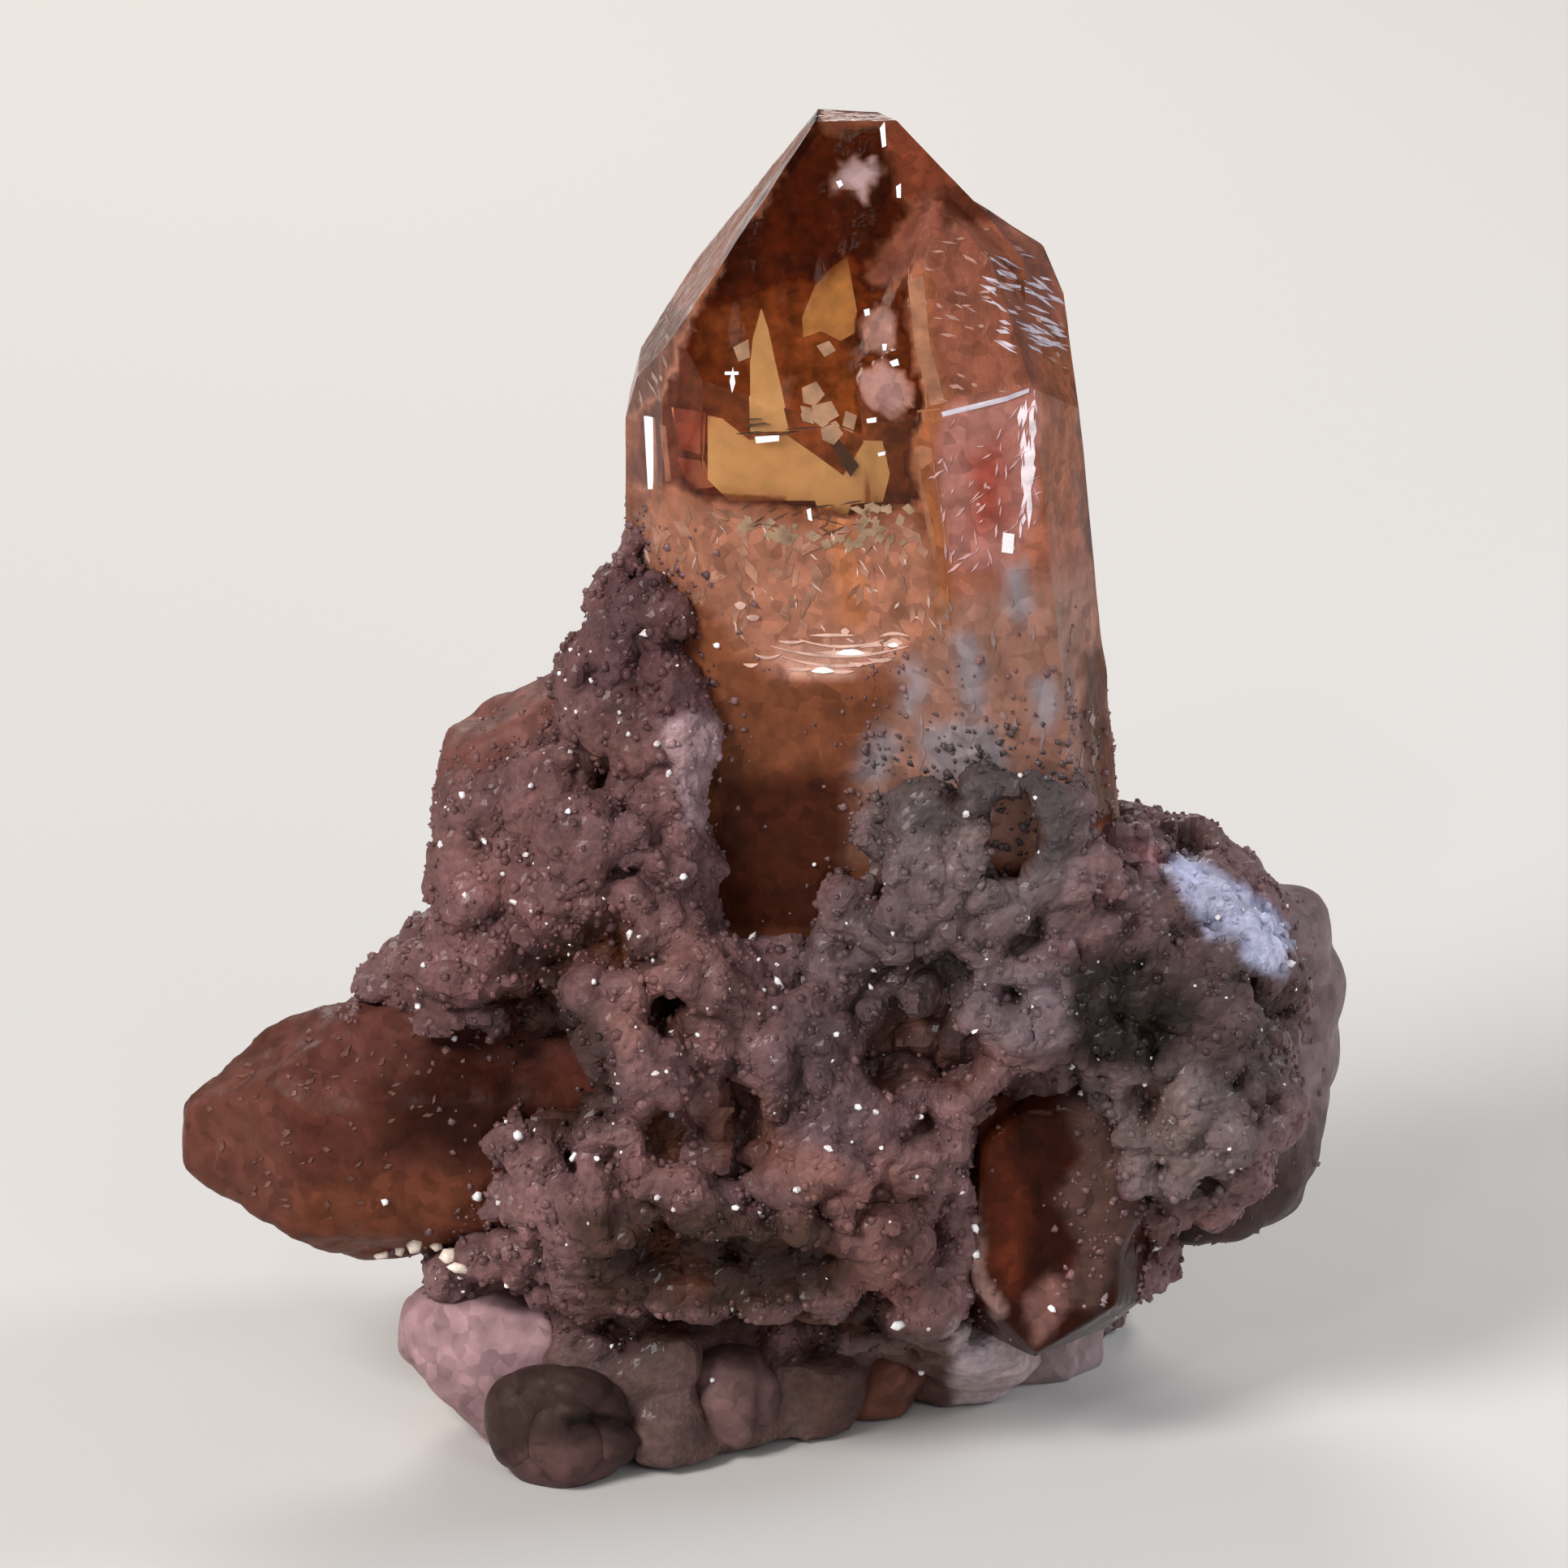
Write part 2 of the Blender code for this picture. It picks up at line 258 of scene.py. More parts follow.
# ---------------------------------------------------------------- meshes

# Corners nearer than this, in millimetres, are one, and faces that meet at less than this angle are one face.
SAME_PLACE = 0.001
FLAT_ANGLE = math.radians(0.4)
# The share of a cell at which the first cut is made, so that no cut meets a corner of the solid.
FIRST_CUT = 0.47


def read_rows(items, key, kind=np.float32):
    """Three numbers of this key for each item of a mesh."""
    flat = np.empty(len(items) * 3, kind)
    items.foreach_get(key, flat)
    return flat.reshape(-1, 3)


def points_of(mesh):
    """A mesh's points, in millimetres."""
    return read_rows(mesh.vertices, "co").astype(float) / MM


def normals_of(mesh):
    """A mesh's normal at each of its points."""
    return read_rows(mesh.vertex_normals, "vector").astype(float)


def triangles_of(mesh):
    """The three points of each triangle of a mesh."""
    mesh.calc_loop_triangles()
    return read_rows(mesh.loop_triangles, "vertices", np.int32)


def set_points(mesh, points):
    """Moves a mesh's points to these places, in millimetres."""
    mesh.vertices.foreach_set("co", (points * MM).astype(np.float32).ravel())
    mesh.update()


def triangle_mesh(name, points, triangles):
    """A new mesh of these triangles, with its points in millimetres."""
    mesh = bpy.data.meshes.new(name)
    mesh.vertices.add(len(points))
    mesh.vertices.foreach_set("co", (points * MM).astype(np.float32).ravel())
    mesh.loops.add(len(triangles) * 3)
    mesh.loops.foreach_set("vertex_index", triangles.astype(np.int32).ravel())
    mesh.polygons.add(len(triangles))
    mesh.polygons.foreach_set("loop_start", np.arange(0, len(triangles) * 3, 3, dtype=np.int32))
    mesh.update(calc_edges=True)
    mesh.validate()
    return mesh


def shade(mesh, smooth):
    """Smooth or flat faces all over."""
    mesh.polygons.foreach_set("use_smooth", np.full(len(mesh.polygons), smooth))


def set_colours(mesh, name, colours):
    """Lays a colour on each of a mesh's points."""
    layer = mesh.color_attributes.new(name, "FLOAT_COLOR", "POINT")
    rgba = np.ones((len(colours), 4), np.float32)
    rgba[:, :3] = np.clip(colours, 0, 1)
    layer.data.foreach_set("color", rgba.ravel())


def set_values(mesh, name, values):
    """Lays a number on each of a mesh's points."""
    layer = mesh.attributes.new(name, "FLOAT", "POINT")
    layer.data.foreach_set("value", values.astype(np.float32))


# The names of the three values that hold a crystal's skin colour.
SKIN_PARTS = ("skin_red", "skin_green", "skin_blue")


def set_skin(mesh, colours):
    """Lays a skin colour on a crystal's mesh, as three values that the material joins."""
    for name, column in zip(SKIN_PARTS, np.clip(colours, 0, 1).T):
        set_values(mesh, name, column)


def in_scene(name, data):
    """A new object of the scene."""
    thing = bpy.data.objects.new(name, data)
    bpy.context.scene.collection.objects.link(thing)
    return thing


def add_piece(name, mesh, slot, material, replaced=()):
    """Puts a finished mesh in the scene as a piece of the specimen."""
    piece = in_scene(name, mesh)
    mesh.materials.clear()
    mesh.materials.append(material)
    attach(piece, "root")
    if replaced:
        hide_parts(*replaced)
    return piece


def remeshed(mesh, voxel, rounding=0):
    """The mesh made anew with even cells of this size, and its corners rounded in so many passes."""
    source = in_scene("source", mesh)
    fuse = source.modifiers.new("fuse", "REMESH")
    fuse.mode = "VOXEL"
    fuse.voxel_size = voxel * MM
    if rounding:
        smooth = source.modifiers.new("smooth", "SMOOTH")
        smooth.factor = 0.5
        smooth.iterations = rounding
    graph = bpy.context.evaluated_depsgraph_get()
    made = bpy.data.meshes.new_from_object(source.evaluated_get(graph))
    bpy.data.objects.remove(source)
    return made


def solid_of(node):
    """The CAD solid, with its corners joined."""
    solid = bmesh.new()
    solid.from_mesh(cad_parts[node].data)
    bmesh.ops.remove_doubles(solid, verts=solid.verts, dist=SAME_PLACE * MM)
    return solid


def cut_across(solid, point, normal, clear_outer=False):
    """Cuts a solid's faces along a plane, and may clear away what lies beyond it."""
    whole = solid.verts[:] + solid.edges[:] + solid.faces[:]
    bmesh.ops.bisect_plane(solid, geom=whole, plane_co=point, plane_no=normal, clear_outer=clear_outer)


def mesh_from(solid, name):
    """The finished solid as a mesh of triangles."""
    bmesh.ops.triangulate(solid, faces=solid.faces)
    mesh = bpy.data.meshes.new(name)
    solid.to_mesh(mesh)
    solid.free()
    return mesh


def cut_solid(node, cuts=(), lumps=()):
    """The CAD solid with lumps added, less what lies beyond each cut: an axis, a side and a place."""
    solid = solid_of(node)
    for centre, radius in lumps:
        place = Matrix.Translation(Vector(centre) * MM)
        bmesh.ops.create_icosphere(solid, subdivisions=2, radius=radius * MM, matrix=place)
    for axis, side, place in cuts:
        cut_across(solid, AXES[axis] * place * MM, AXES[axis] * side, clear_outer=True)
        bmesh.ops.holes_fill(solid, edges=[edge for edge in solid.edges if edge.is_boundary])
    return mesh_from(solid, node)


def diced(node, spacing):
    """The CAD crystal with its faces cut into small cells; every face and edge stays in place."""
    solid = solid_of(node)
    bmesh.ops.dissolve_limit(solid, angle_limit=FLAT_ANGLE, verts=solid.verts, edges=solid.edges)
    low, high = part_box(node)
    for axis in range(3):
        for step in np.arange(low[axis] + FIRST_CUT * spacing * MM, high[axis], spacing * MM):
            cut_across(solid, AXES[axis] * step, AXES[axis])
    mesh = mesh_from(solid, node)
    if "custom_normal" in mesh.attributes:
        mesh.attributes.remove(mesh.attributes["custom_normal"])
    return mesh


# ---------------------------------------------------------------- materials


class Nodes:
    """A short way to write a material's nodes. A value may be a number, a colour or the output of a node."""

    def __init__(self, name):
        self.material = bpy.data.materials.new(name)
        self.material.use_nodes = True
        self.tree = self.material.node_tree
        self.place = self.node("TexCoord", "Object")

    def give(self, socket, value):
        """Links an output to a socket, or sets the socket to a number or a colour."""
        if isinstance(value, bpy.types.NodeSocket):
            self.tree.links.new(value, socket)
        else:
            socket.default_value = (*value, 1) if socket.type == "RGBA" else value

    def node(self, kind, output, inputs=(), **settings):
        """Adds a node with these inputs and returns one of its outputs, each by its name or number."""
        made = self.tree.nodes.new("ShaderNode" + kind)
        for key, value in settings.items():
            setattr(made, key, value)
        for key, value in dict(inputs).items():
            self.give(made.inputs[key], value)
        return made.outputs[output]

    def attribute(self, name, output="Fac"):
        """The value or colour of this name that lies on the mesh."""
        return self.node("Attribute", output, attribute_name=name)

    def skin(self):
        """The colour that set_skin laid on the mesh."""
        return self.node("CombineColor", "Color", enumerate(map(self.attribute, SKIN_PARTS)))

    def noise(self, width, detail=3.0, stretch=(1, 1, 1)):
        """Noise from 0 to 1 with features of about this width in millimetres."""
        place = self.node("Mapping", "Vector", {"Scale": stretch, "Vector": self.place})
        return self.node("TexNoise", "Fac", {"Scale": 1 / (width * MM), "Detail": detail, "Vector": place})

    def cells(self, width):
        """A random number from 0 to 1 for each cell of about this width in millimetres."""
        return self.node("TexVoronoi", "Color", {"Scale": 1 / (width * MM), "Vector": self.place})

    def spread(self, value, low, high, new_low, new_high):
        """The value carried from one range to another, and kept inside it."""
        ranges = {"Value": value, "From Min": low, "From Max": high, "To Min": new_low, "To Max": new_high}
        return self.node("MapRange", "Result", ranges)

    def product(self, first, second):
        """One value times another."""
        return self.node("Math", "Value", enumerate((first, second)), operation="MULTIPLY")

    def scaled(self, colour, factor):
        """A colour times a factor."""
        return self.node("VectorMath", "Vector", {"Vector": colour, "Scale": factor}, operation="SCALE")

    def blend(self, factor, first, second):
        """From the first colour to the second as the factor goes from 0 to 1."""
        return self.node("Mix", 2, {0: factor, 6: first, 7: second}, data_type="RGBA")

    def shader(self, **values):
        """Gives the surface shader's inputs their values; an underscore stands for a space."""
        for key, value in values.items():
            self.give(self.tree.nodes["Principled BSDF"].inputs[key.replace("_", " ")], value)

    def bump(self, height, depth):
        """Relief of this depth in millimetres."""
        self.shader(Normal=self.node("Bump", "Normal", {"Distance": depth * MM, "Height": height}))

    def absorb(self, colour, density):
        """Light on its way through takes on this colour, the faster the denser."""
        volume = self.node("VolumeAbsorption", "Volume", {"Color": colour, "Density": density})
        self.give(self.tree.nodes["Material Output"].inputs["Volume"], volume)


# Painted shade of the crust's hollows and grooves, as sRGB: dark brown in some places and amber in others.
HOLLOW_SHADE_BROWN = (44, 25, 20)
HOLLOW_SHADE_AMBER = (84, 46, 30)

# The crystals mirror little of a pale studio, because their skin is finely etched.
MIRROR_TINT = (0.45, 0.38, 0.35)


def crust_material(name, smooth, rough, gloss):
    """Granular crust: the mesh's mottled tone, going to a painted brown and amber shade in the hollows."""
    made = Nodes(name)
    mottle = made.spread(made.noise(1.1), 0.3, 0.7, 0.75, 1.25)
    speckle = made.spread(made.noise(0.22, 2.0), 0.35, 0.7, 0.85, 1.2)
    uneven = made.product(mottle, speckle)
    tone = made.scaled(made.attribute("tone", "Color"), uneven)
    # Painted shade: where the mesh's shade value is low, in hollows and grooves, the colour goes to dark
    # brown and amber.
    brown_or_amber = made.spread(made.noise(3.0), 0.42, 0.6, 0, 1)
    hollow = made.blend(brown_or_amber, linear(HOLLOW_SHADE_BROWN), linear(HOLLOW_SHADE_AMBER))
    made.shader(
        Base_Color=made.blend(made.attribute("unshaded"), hollow, tone),
        Roughness=made.spread(made.noise(0.5), 0.35, 0.65, smooth, rough),
        Specular_IOR_Level=0.2,
        Coat_Weight=gloss,
        Coat_Roughness=0.12,
    )
    made.bump(made.noise(0.16, 4.0), 0.05)
    return made.material


def crystal_material(name, tint, density, clear_roughness, frost_roughness, clearness, gloss, mirror):
    """Crystal that takes light in: clear where its frost is 0, and with an etched skin where it is 1."""
    made = Nodes(name)
    frost = made.attribute("frost")
    patchy = made.spread(made.noise(0.3, 4.0), 0.35, 0.65, 0.75, 1.15)
    frost = made.product(frost, patchy)
    coloured = made.spread(frost, 0, 0.06, 0, 1)
    mottle = made.spread(made.noise(0.9), 0.3, 0.7, 0.75, 1.25)
    shard = made.spread(made.cells(0.4), 0, 1, 0.72, 1.3)
    skin = made.scaled(made.skin(), made.product(mottle, shard))
    made.shader(
        Base_Color=made.blend(coloured, (1.0, 0.98, 0.96), skin),
        Roughness=made.spread(frost, 0.3, 1, clear_roughness, frost_roughness),
        Transmission_Weight=made.spread(frost, 0.06, 0.5, 1.0, clearness),
        IOR=TOPAZ_IOR,
        Specular_IOR_Level=gloss,
        Specular_Tint=mirror,
    )
    made.bump(made.product(made.noise(0.4, 4.0, (1.0, 1.0, 0.4)), made.spread(frost, 0, 0.6, 0.15, 1)), 0.04)
    made.absorb(tint, density)
    return made.material


def inner_material(name, colour, variation=0.25, roughness=0.5):
    """A flake, veil or speck inside a crystal."""
    made = Nodes(name)
    mottle = made.spread(made.noise(0.6), 0.3, 0.7, 1 - variation, 1 + variation)
    base = made.node("RGB", "Color")
    base.default_value = (*colour, 1)
    made.shader(
        Base_Color=made.scaled(base, mottle),
        Roughness=made.spread(mottle, 0, 2, roughness, roughness + 0.1),
        Specular_IOR_Level=0.15,
    )
    return made.material


# ---------------------------------------------------------------- crust

# Tones of the crust: the region that has one, as centre and radii, and its colour as seen. Three are painted
# shade: a hollow, the right lobe where the light falls off, and the undercut low at the front.
CRUST_BASE = (104, 75, 75)
CRUST_TONES_AND_SHADE = (
    ((-7.0, -3.0, 22.0), (4.8, 6.0, 7.0), (96, 66, 65)),
    ((-8.4, -3.0, 17.0), (4.0, 5.0, 3.6), (106, 73, 72)),
    # painted shade in a hollow
    ((-7.6, -5.5, 13.4), (3.0, 3.0, 2.2), (78, 52, 53)),
    ((5.2, -5.5, 21.0), (3.4, 3.4, 4.0), (94, 79, 79)),
    ((3.4, -6.0, 17.0), (3.6, 3.4, 2.4), (86, 68, 68)),
    # partly painted shade: the right lobe, darker as the light falls off towards the lower right
    ((11.0, -3.0, 14.0), (4.6, 6.0, 5.0), (70, 54, 53)),
    ((2.6, -5.6, 9.0), (1.8, 3.0, 3.2), (94, 61, 57)),
    # painted shade in the undercut low at the front, under the crust's overhang
    ((-1.0, -5.0, 4.4), (7.0, 3.4, 1.0), (52, 34, 30)),
)
# The blue-white ridge of the right lobe: partly its own frost and partly painted glare from the side light.
BLUE_RIDGE_GLARE = rows(
    "1432,1060 1475,1055 1525,1082 1568,1115 1590,1155 1584,1204 1548,1196 1530,1160 1490,1146 1462,1112")
# Tones of the front of the crust: the outline in pixels, the width of its edge and its colour as seen. Two
# are painted shade, under the right lobe and in a pit, and the ridge's is partly painted glare.
CRUST_PAINTS = (
    (rows("740,700 800,690 890,790 880,900 780,910 720,830"), 24, (76, 49, 50)),
    (BLUE_RIDGE_GLARE, 9, (160, 160, 184)),
    (rows("1396,1036 1432,1040 1430,1064 1398,1062"), 8, (150, 104, 104)),
    # painted shade under the right lobe, above the lower-right crystal
    (rows("1290,1190 1400,1170 1480,1230 1440,1320 1340,1310 1290,1260"), 26, (33, 22, 18)),
    (rows("825,890 880,880 905,940 890,1020 850,1010 830,950"), 12, (140, 114, 118)),
    (rows("1070,930 1180,880 1300,900 1335,1000 1310,1080 1180,1020 1080,1010"), 22, (72, 62, 63)),
    # painted shade in a pit
    (rows("600,1240 700,1220 770,1290 760,1400 660,1400 600,1330"), 22, (62, 42, 40)),
    (rows("700,1500 860,1484 1030,1500 1044,1600 900,1625 720,1600"), 18, (64, 42, 35)),
    (rows("925,1380 1010,1400 1090,1480 1130,1600 1060,1600 1020,1500 940,1440"), 16, (112, 76, 71)),
    (rows("760,1200 860,1180 890,1300 880,1440 790,1440 750,1300"), 24, (116, 82, 80)),
    (rows("960,1240 1070,1220 1080,1330 1060,1430 960,1400"), 20, (82, 61, 63)),
    (rows("1180,1200 1310,1190 1325,1290 1250,1300 1190,1260"), 16, (104, 86, 88)),
    (rows("1350,1330 1480,1310 1560,1400 1500,1480 1400,1480"), 20, (102, 86, 85)),
    (rows("470,1600 760,1660 1000,1660 1180,1650 1180,1800 900,1900 500,1900"), 12, (84, 63, 60)),
    (rows("980,1680 1160,1660 1180,1760 1000,1780"), 12, (78, 54, 48)),
    (rows("1170,1640 1290,1655 1370,1590 1400,1700 1180,1780"), 12, (164, 146, 148)),
)

# The crust's pieces: cell size, then the planes that cut them from the solid. They overlap a little.
CRUST_PIECES = {
    "crust_left": (0.18, ((1, 1, 3.0), (0, 1, -0.8))),
    "crust_front": (0.19, ((1, 1, 3.0), (0, -1, -3.2))),
    "crust_back": (0.25, ((1, -1, 1.0),)),
}
# Lumps that bury the foot of the shoulder crystal and carry the crust's branches: centre and radius.
CRUST_LUMPS = (
    ((-8.9, -2.6, 17.6), 2.2),
    ((-9.0, -2.2, 20.0), 1.7),
    ((-7.6, -2.6, 21.0), 1.6),
    ((-9.1, -1.8, 15.4), 2.3),
)
COARSE_VOXEL = 0.3
# The crust's lumps and knobs: width, height and seed.
CRUST_KNOBS = ((2.3, 0.8, 23), (1.15, 0.95, 31))
FINE_KNOBS = ((0.72, 0.5, 47), (0.38, 0.2, 59))
# The crust's caves and pits: the noise at which they start and at which they are deepest, how far their edges
# wander, their width, seed and depth.
CRUST_CAVES = ((0.08, 0.38, 0.5, 2.0, 37, 1.5), (0.12, 0.42, 0.4, 1.1, 38, 0.9))
# How deep the hollows and the bare face of the lower-right crystal go into the crust.
HOLLOW_DEPTH = 1.1
BARE_DEPTH = 1.6
# The relief fades out below this height, so that the underside stays flat.
FLAT_BELOW = 0.4
# Broad patches of the crust's back: the seed of each and its colour.
BACK_TONES = ((84, (124, 102, 106)), (85, (76, 50, 42)), (86, (96, 84, 84)), (87, (120, 84, 78)))


def zoned(points, base, zones, wander=0.6, seed=75, width=1.6, blur=0.4):
    """A colour for each point: the base, and each zone's own colour inside it. The zones' edges wander."""
    colours = np.tile(surface(base), (len(points), 1))
    moved = points + layered_noise(points, width, seed)[:, None] * wander
    for centre, radii, colour in zones:
        colours = mixed(colours, surface(colour), in_region(moved, centre, radii, blur))
    return colours


def crust_tone(points):
    """Ragged zones of colour, some painted shade and glare, and patches lighter, darker, bluer or pinker."""
    tone = zoned(points, CRUST_BASE, CRUST_TONES_AND_SHADE, wander=0.9, seed=71, width=2.2, blur=0.35)
    ragged = points + noise_vector(points, 1.1, 72) * 0.45
    front = points[:, 1] < 1
    for outline, blur, colour in CRUST_PAINTS:
        tone = mixed(tone, surface(colour), in_outline(ragged, outline, blur) * front)
    behind = smoothstep(-1.0, 2.0, points[:, 1])
    for seed, colour in BACK_TONES:
        patch = smoothstep(0.1, 0.45, layered_noise(points, 3.2, seed))
        tone = mixed(tone, surface(colour), patch * behind * 0.85)
    light = 1 + 0.34 * layered_noise(points, 0.9, 78)
    cool = layered_noise(points, 1.8, 79)[:, None] * (-0.07, 0.0, 0.12)
    return tone * light[:, None] * (1 + cool)


# The foot of the specimen, where the crust gives way to smooth milky quartz.
FOOT_BAND = rows(
    "480,1590 640,1640 760,1672 800,1640 880,1622 1000,1672 1100,1655 1230,1640 1290,1660 1365,1590 "
    "1400,1700 1300,1790 900,1880 560,1880 470,1700")
FOOT_SMOOTHNESS = 0.85
FOOT_SWELL = 0.8


def foot_share(points):
    """1 on the smooth foot's front and 0 elsewhere."""
    return in_outline(points, FOOT_BAND, 14) * (points[:, 2] < 6) * (points[:, 1] < 3)


# The bare face of the lower-right crystal.
LOWER_RIGHT_FACE = rows(
    "1193,1369 1220,1343 1268,1310 1321,1305 1401,1476 1369,1529 1358,1572 1273,1657 1241,1614 1214,1561 "
    "1198,1486")

# Hollows of the crust, where no grains grow and the colour turns to painted shade: centre and radii.
CRUST_HOLLOWS = (
    ((-1.8, -8.2, 12.2), (1.1, 2.4, 1.6)),
    ((-4.1, -8.4, 16.0), (0.7, 1.3, 0.7)),
    ((-7.8, -5.6, 13.1), (2.2, 2.4, 1.8)),
    ((6.4, -6.0, 21.2), (0.8, 1.6, 1.4)),
    ((4.5, -6.0, 22.6), (0.6, 1.0, 0.7)),
    ((-2.0, -8.0, 7.7), (3.8, 1.9, 1.4)),
    ((3.8, -7.0, 14.2), (1.9, 2.6, 1.2)),
    ((-1.0, -6.8, 4.6), (4.4, 3.2, 0.7)),
    ((12.2, -5.0, 9.2), (0.8, 1.0, 0.4)),
)


def open_crust(points):
    """1 on open crust and 0 deep in a hollow."""
    wander = points + layered_noise(points, 1.4, 83)[:, None] * 0.5
    shut = np.zeros(len(points))
    for centre, radii in CRUST_HOLLOWS:
        shut = np.maximum(shut, in_region(wander, centre, radii, 0.25))
    return 1 - shut


def crust_relief(points):
    """How far the crust's lumps stand out from the solid, less its caves, pits and hollows."""
    warp = noise_vector(points, 2.4, 5)
    bent = points + warp * 0.7
    relief = knobbly(bent, CRUST_KNOBS)
    for start, full, wander, width, seed, depth in CRUST_CAVES:
        relief -= smoothstep(start, full, layered_noise(points + warp * wander, width, seed)) * depth
    foot = foot_share(points)
    relief = relief * (1 - FOOT_SMOOTHNESS * foot) + FOOT_SWELL * foot
    relief -= (1 - open_crust(points)) * HOLLOW_DEPTH
    bare = in_outline(points + warp * 0.4, LOWER_RIGHT_FACE, 12) * (points[:, 1] < -2)
    return relief - bare * BARE_DEPTH


def fine_relief(points):
    """How far the crust's small knobs stand out."""
    bent = points + noise_vector(points, 0.7, 15) * 0.2
    return knobbly(bent, FINE_KNOBS) * (1 - 0.9 * foot_share(points))


def pushed(mesh, amount):
    """Moves each of a mesh's points along its normal by its own amount, and none of them below the ground."""
    moved = points_of(mesh) + normals_of(mesh) * amount[:, None]
    moved[:, 2] = np.maximum(moved[:, 2], 0)
    set_points(mesh, moved)


def off_ground(points):
    """0 on the underside, which stays flat, and 1 from a little above it."""
    return smoothstep(0, FLAT_BELOW, points[:, 2])


def build_crust():
    """The matrix with its knobbly, coral-like skin, in three pieces that overlap out of sight."""
    material = crust_material("crust", smooth=0.4, rough=0.8, gloss=0.12)
    made = []
    for name, (voxel, cuts) in CRUST_PIECES.items():
        coarse = remeshed(cut_solid("matrix", cuts, CRUST_LUMPS), COARSE_VOXEL)
        tree = tree_of(coarse)
        points = points_of(coarse)
        pushed(coarse, crust_relief(points) * off_ground(points))
        mesh = remeshed(coarse, voxel)
        points = points_of(mesh)
        height = depth_below(tree, points)
        small = fine_relief(points)
        pushed(mesh, small * off_ground(points))
        points = points_of(mesh)
        shade(mesh, False)
        # Painted light and shade: the tone is lighter on the crests and darker lower down.
        crest_shading = 0.8 + 0.35 * smoothstep(-0.2, 0.6, height + small)
        set_colours(mesh, "tone", crust_tone(points) * crest_shading[:, None])
        # Painted shade in the grooves between small knobs and deep in the hollows, where the material turns
        # brown.
        groove = 0.35 + 0.65 * smoothstep(-0.3, 0.08, small)
        unshaded = smoothstep(-1.2, -0.1, height) * groove * (0.3 + 0.7 * open_crust(points))
        set_values(mesh, "unshaded", np.maximum(unshaded, foot_share(points) * smoothstep(-1.2, -0.6, height)))
        made.append(add_piece(name, mesh, "crust", material, ["matrix"]))
    return made


# ---------------------------------------------------------------- druse


def sugar_shapes(rng, count):
    """Small rounded grains about 1 across: icosahedra with their corners moved at random."""
    ball = bmesh.new()
    bmesh.ops.create_icosphere(ball, subdivisions=1, radius=0.5)
    corners = np.array([list(vert.co) for vert in ball.verts])
    triangles = np.array([[vert.index for vert in face.verts] for face in ball.faces])
    ball.free()
    return [(corners * rng.uniform(0.72, 1.25, (len(corners), 1)), triangles) for _ in range(count)]


def chip_shapes(rng, count):
    """Small angular chips about 1 across: octahedra with their corners moved at random."""
    corners = np.array([(1, 0, 0), (-1, 0, 0), (0, 1, 0), (0, -1, 0), (0, 0, 1), (0, 0, -1)]) * 0.55
    sides = np.array([(0, 2, 4), (2, 1, 4), (1, 3, 4), (3, 0, 4), (2, 0, 5), (1, 2, 5), (3, 1, 5), (0, 3, 5)])
    return [(corners + rng.normal(0, 0.1, corners.shape), sides) for _ in range(count)]


def spark_shapes(rng, count):
    """Small crystals with flat faces, about 1 across: stubby six-sided prisms with a point."""
    shapes = []
    sides = 6
    for _ in range(count):
        angles = np.arange(sides) * 2 * math.pi / sides + rng.uniform(-0.2, 0.2, sides)
        radii = 0.5 * rng.uniform(0.75, 1.1, sides)
        shoulder = rng.uniform(0.15, 0.45)
        ring = np.stack([np.cos(angles) * radii, np.sin(angles) * radii], axis=1)
        low = np.column_stack([ring * 0.8, np.full(sides, -0.5)])
        high = np.column_stack([ring, shoulder + rng.uniform(-0.08, 0.08, sides)])
        tip = [[rng.uniform(-0.12, 0.12), rng.uniform(-0.12, 0.12), shoulder + rng.uniform(0.3, 0.6)]]
        triangles = []
        for side in range(sides):
            after = (side + 1) % sides
            triangles += [(side, after, sides + after), (side, sides + after, sides + side)]
            triangles.append((sides + side, sides + after, 2 * sides))
        triangles += [(0, side + 1, side) for side in range(1, sides - 1)]
        shapes.append((np.vstack([low, high, tip]), np.array(triangles)))
    return shapes


def turned_to(normals, rng, lean):
    """A rotation for each normal that stands a grain on the surface, leaning at random."""
    up = normals + rng.normal(0, lean, normals.shape)
    up /= np.linalg.norm(up, axis=1, keepdims=True)
    side = np.cross(up, rng.normal(size=up.shape))
    side /= np.linalg.norm(side, axis=1, keepdims=True)
    return np.stack([side, np.cross(up, side), up], axis=2)


def scattered(mesh, count, rng, weight):
    """Points spread over a mesh's faces, with their normals; weight says how dense they are at a place."""
    points = points_of(mesh)
    corners = points[triangles_of(mesh)]
    across = np.cross(corners[:, 1] - corners[:, 0], corners[:, 2] - corners[:, 0])
    area = np.linalg.norm(across, axis=1)
    normals = across / np.maximum(area, 1e-12)[:, None]
    share = area * weight(corners.mean(axis=1), normals)
    chosen = rng.choice(len(corners), size=count, p=share / share.sum())
    a, b = rng.random((2, count, 1))
    flip = a + b > 1
    a, b = np.where(flip, 1 - a, a), np.where(flip, 1 - b, b)
    base = corners[chosen]
    return base[:, 0] + a * (base[:, 1] - base[:, 0]) + b * (base[:, 2] - base[:, 0]), normals[chosen]


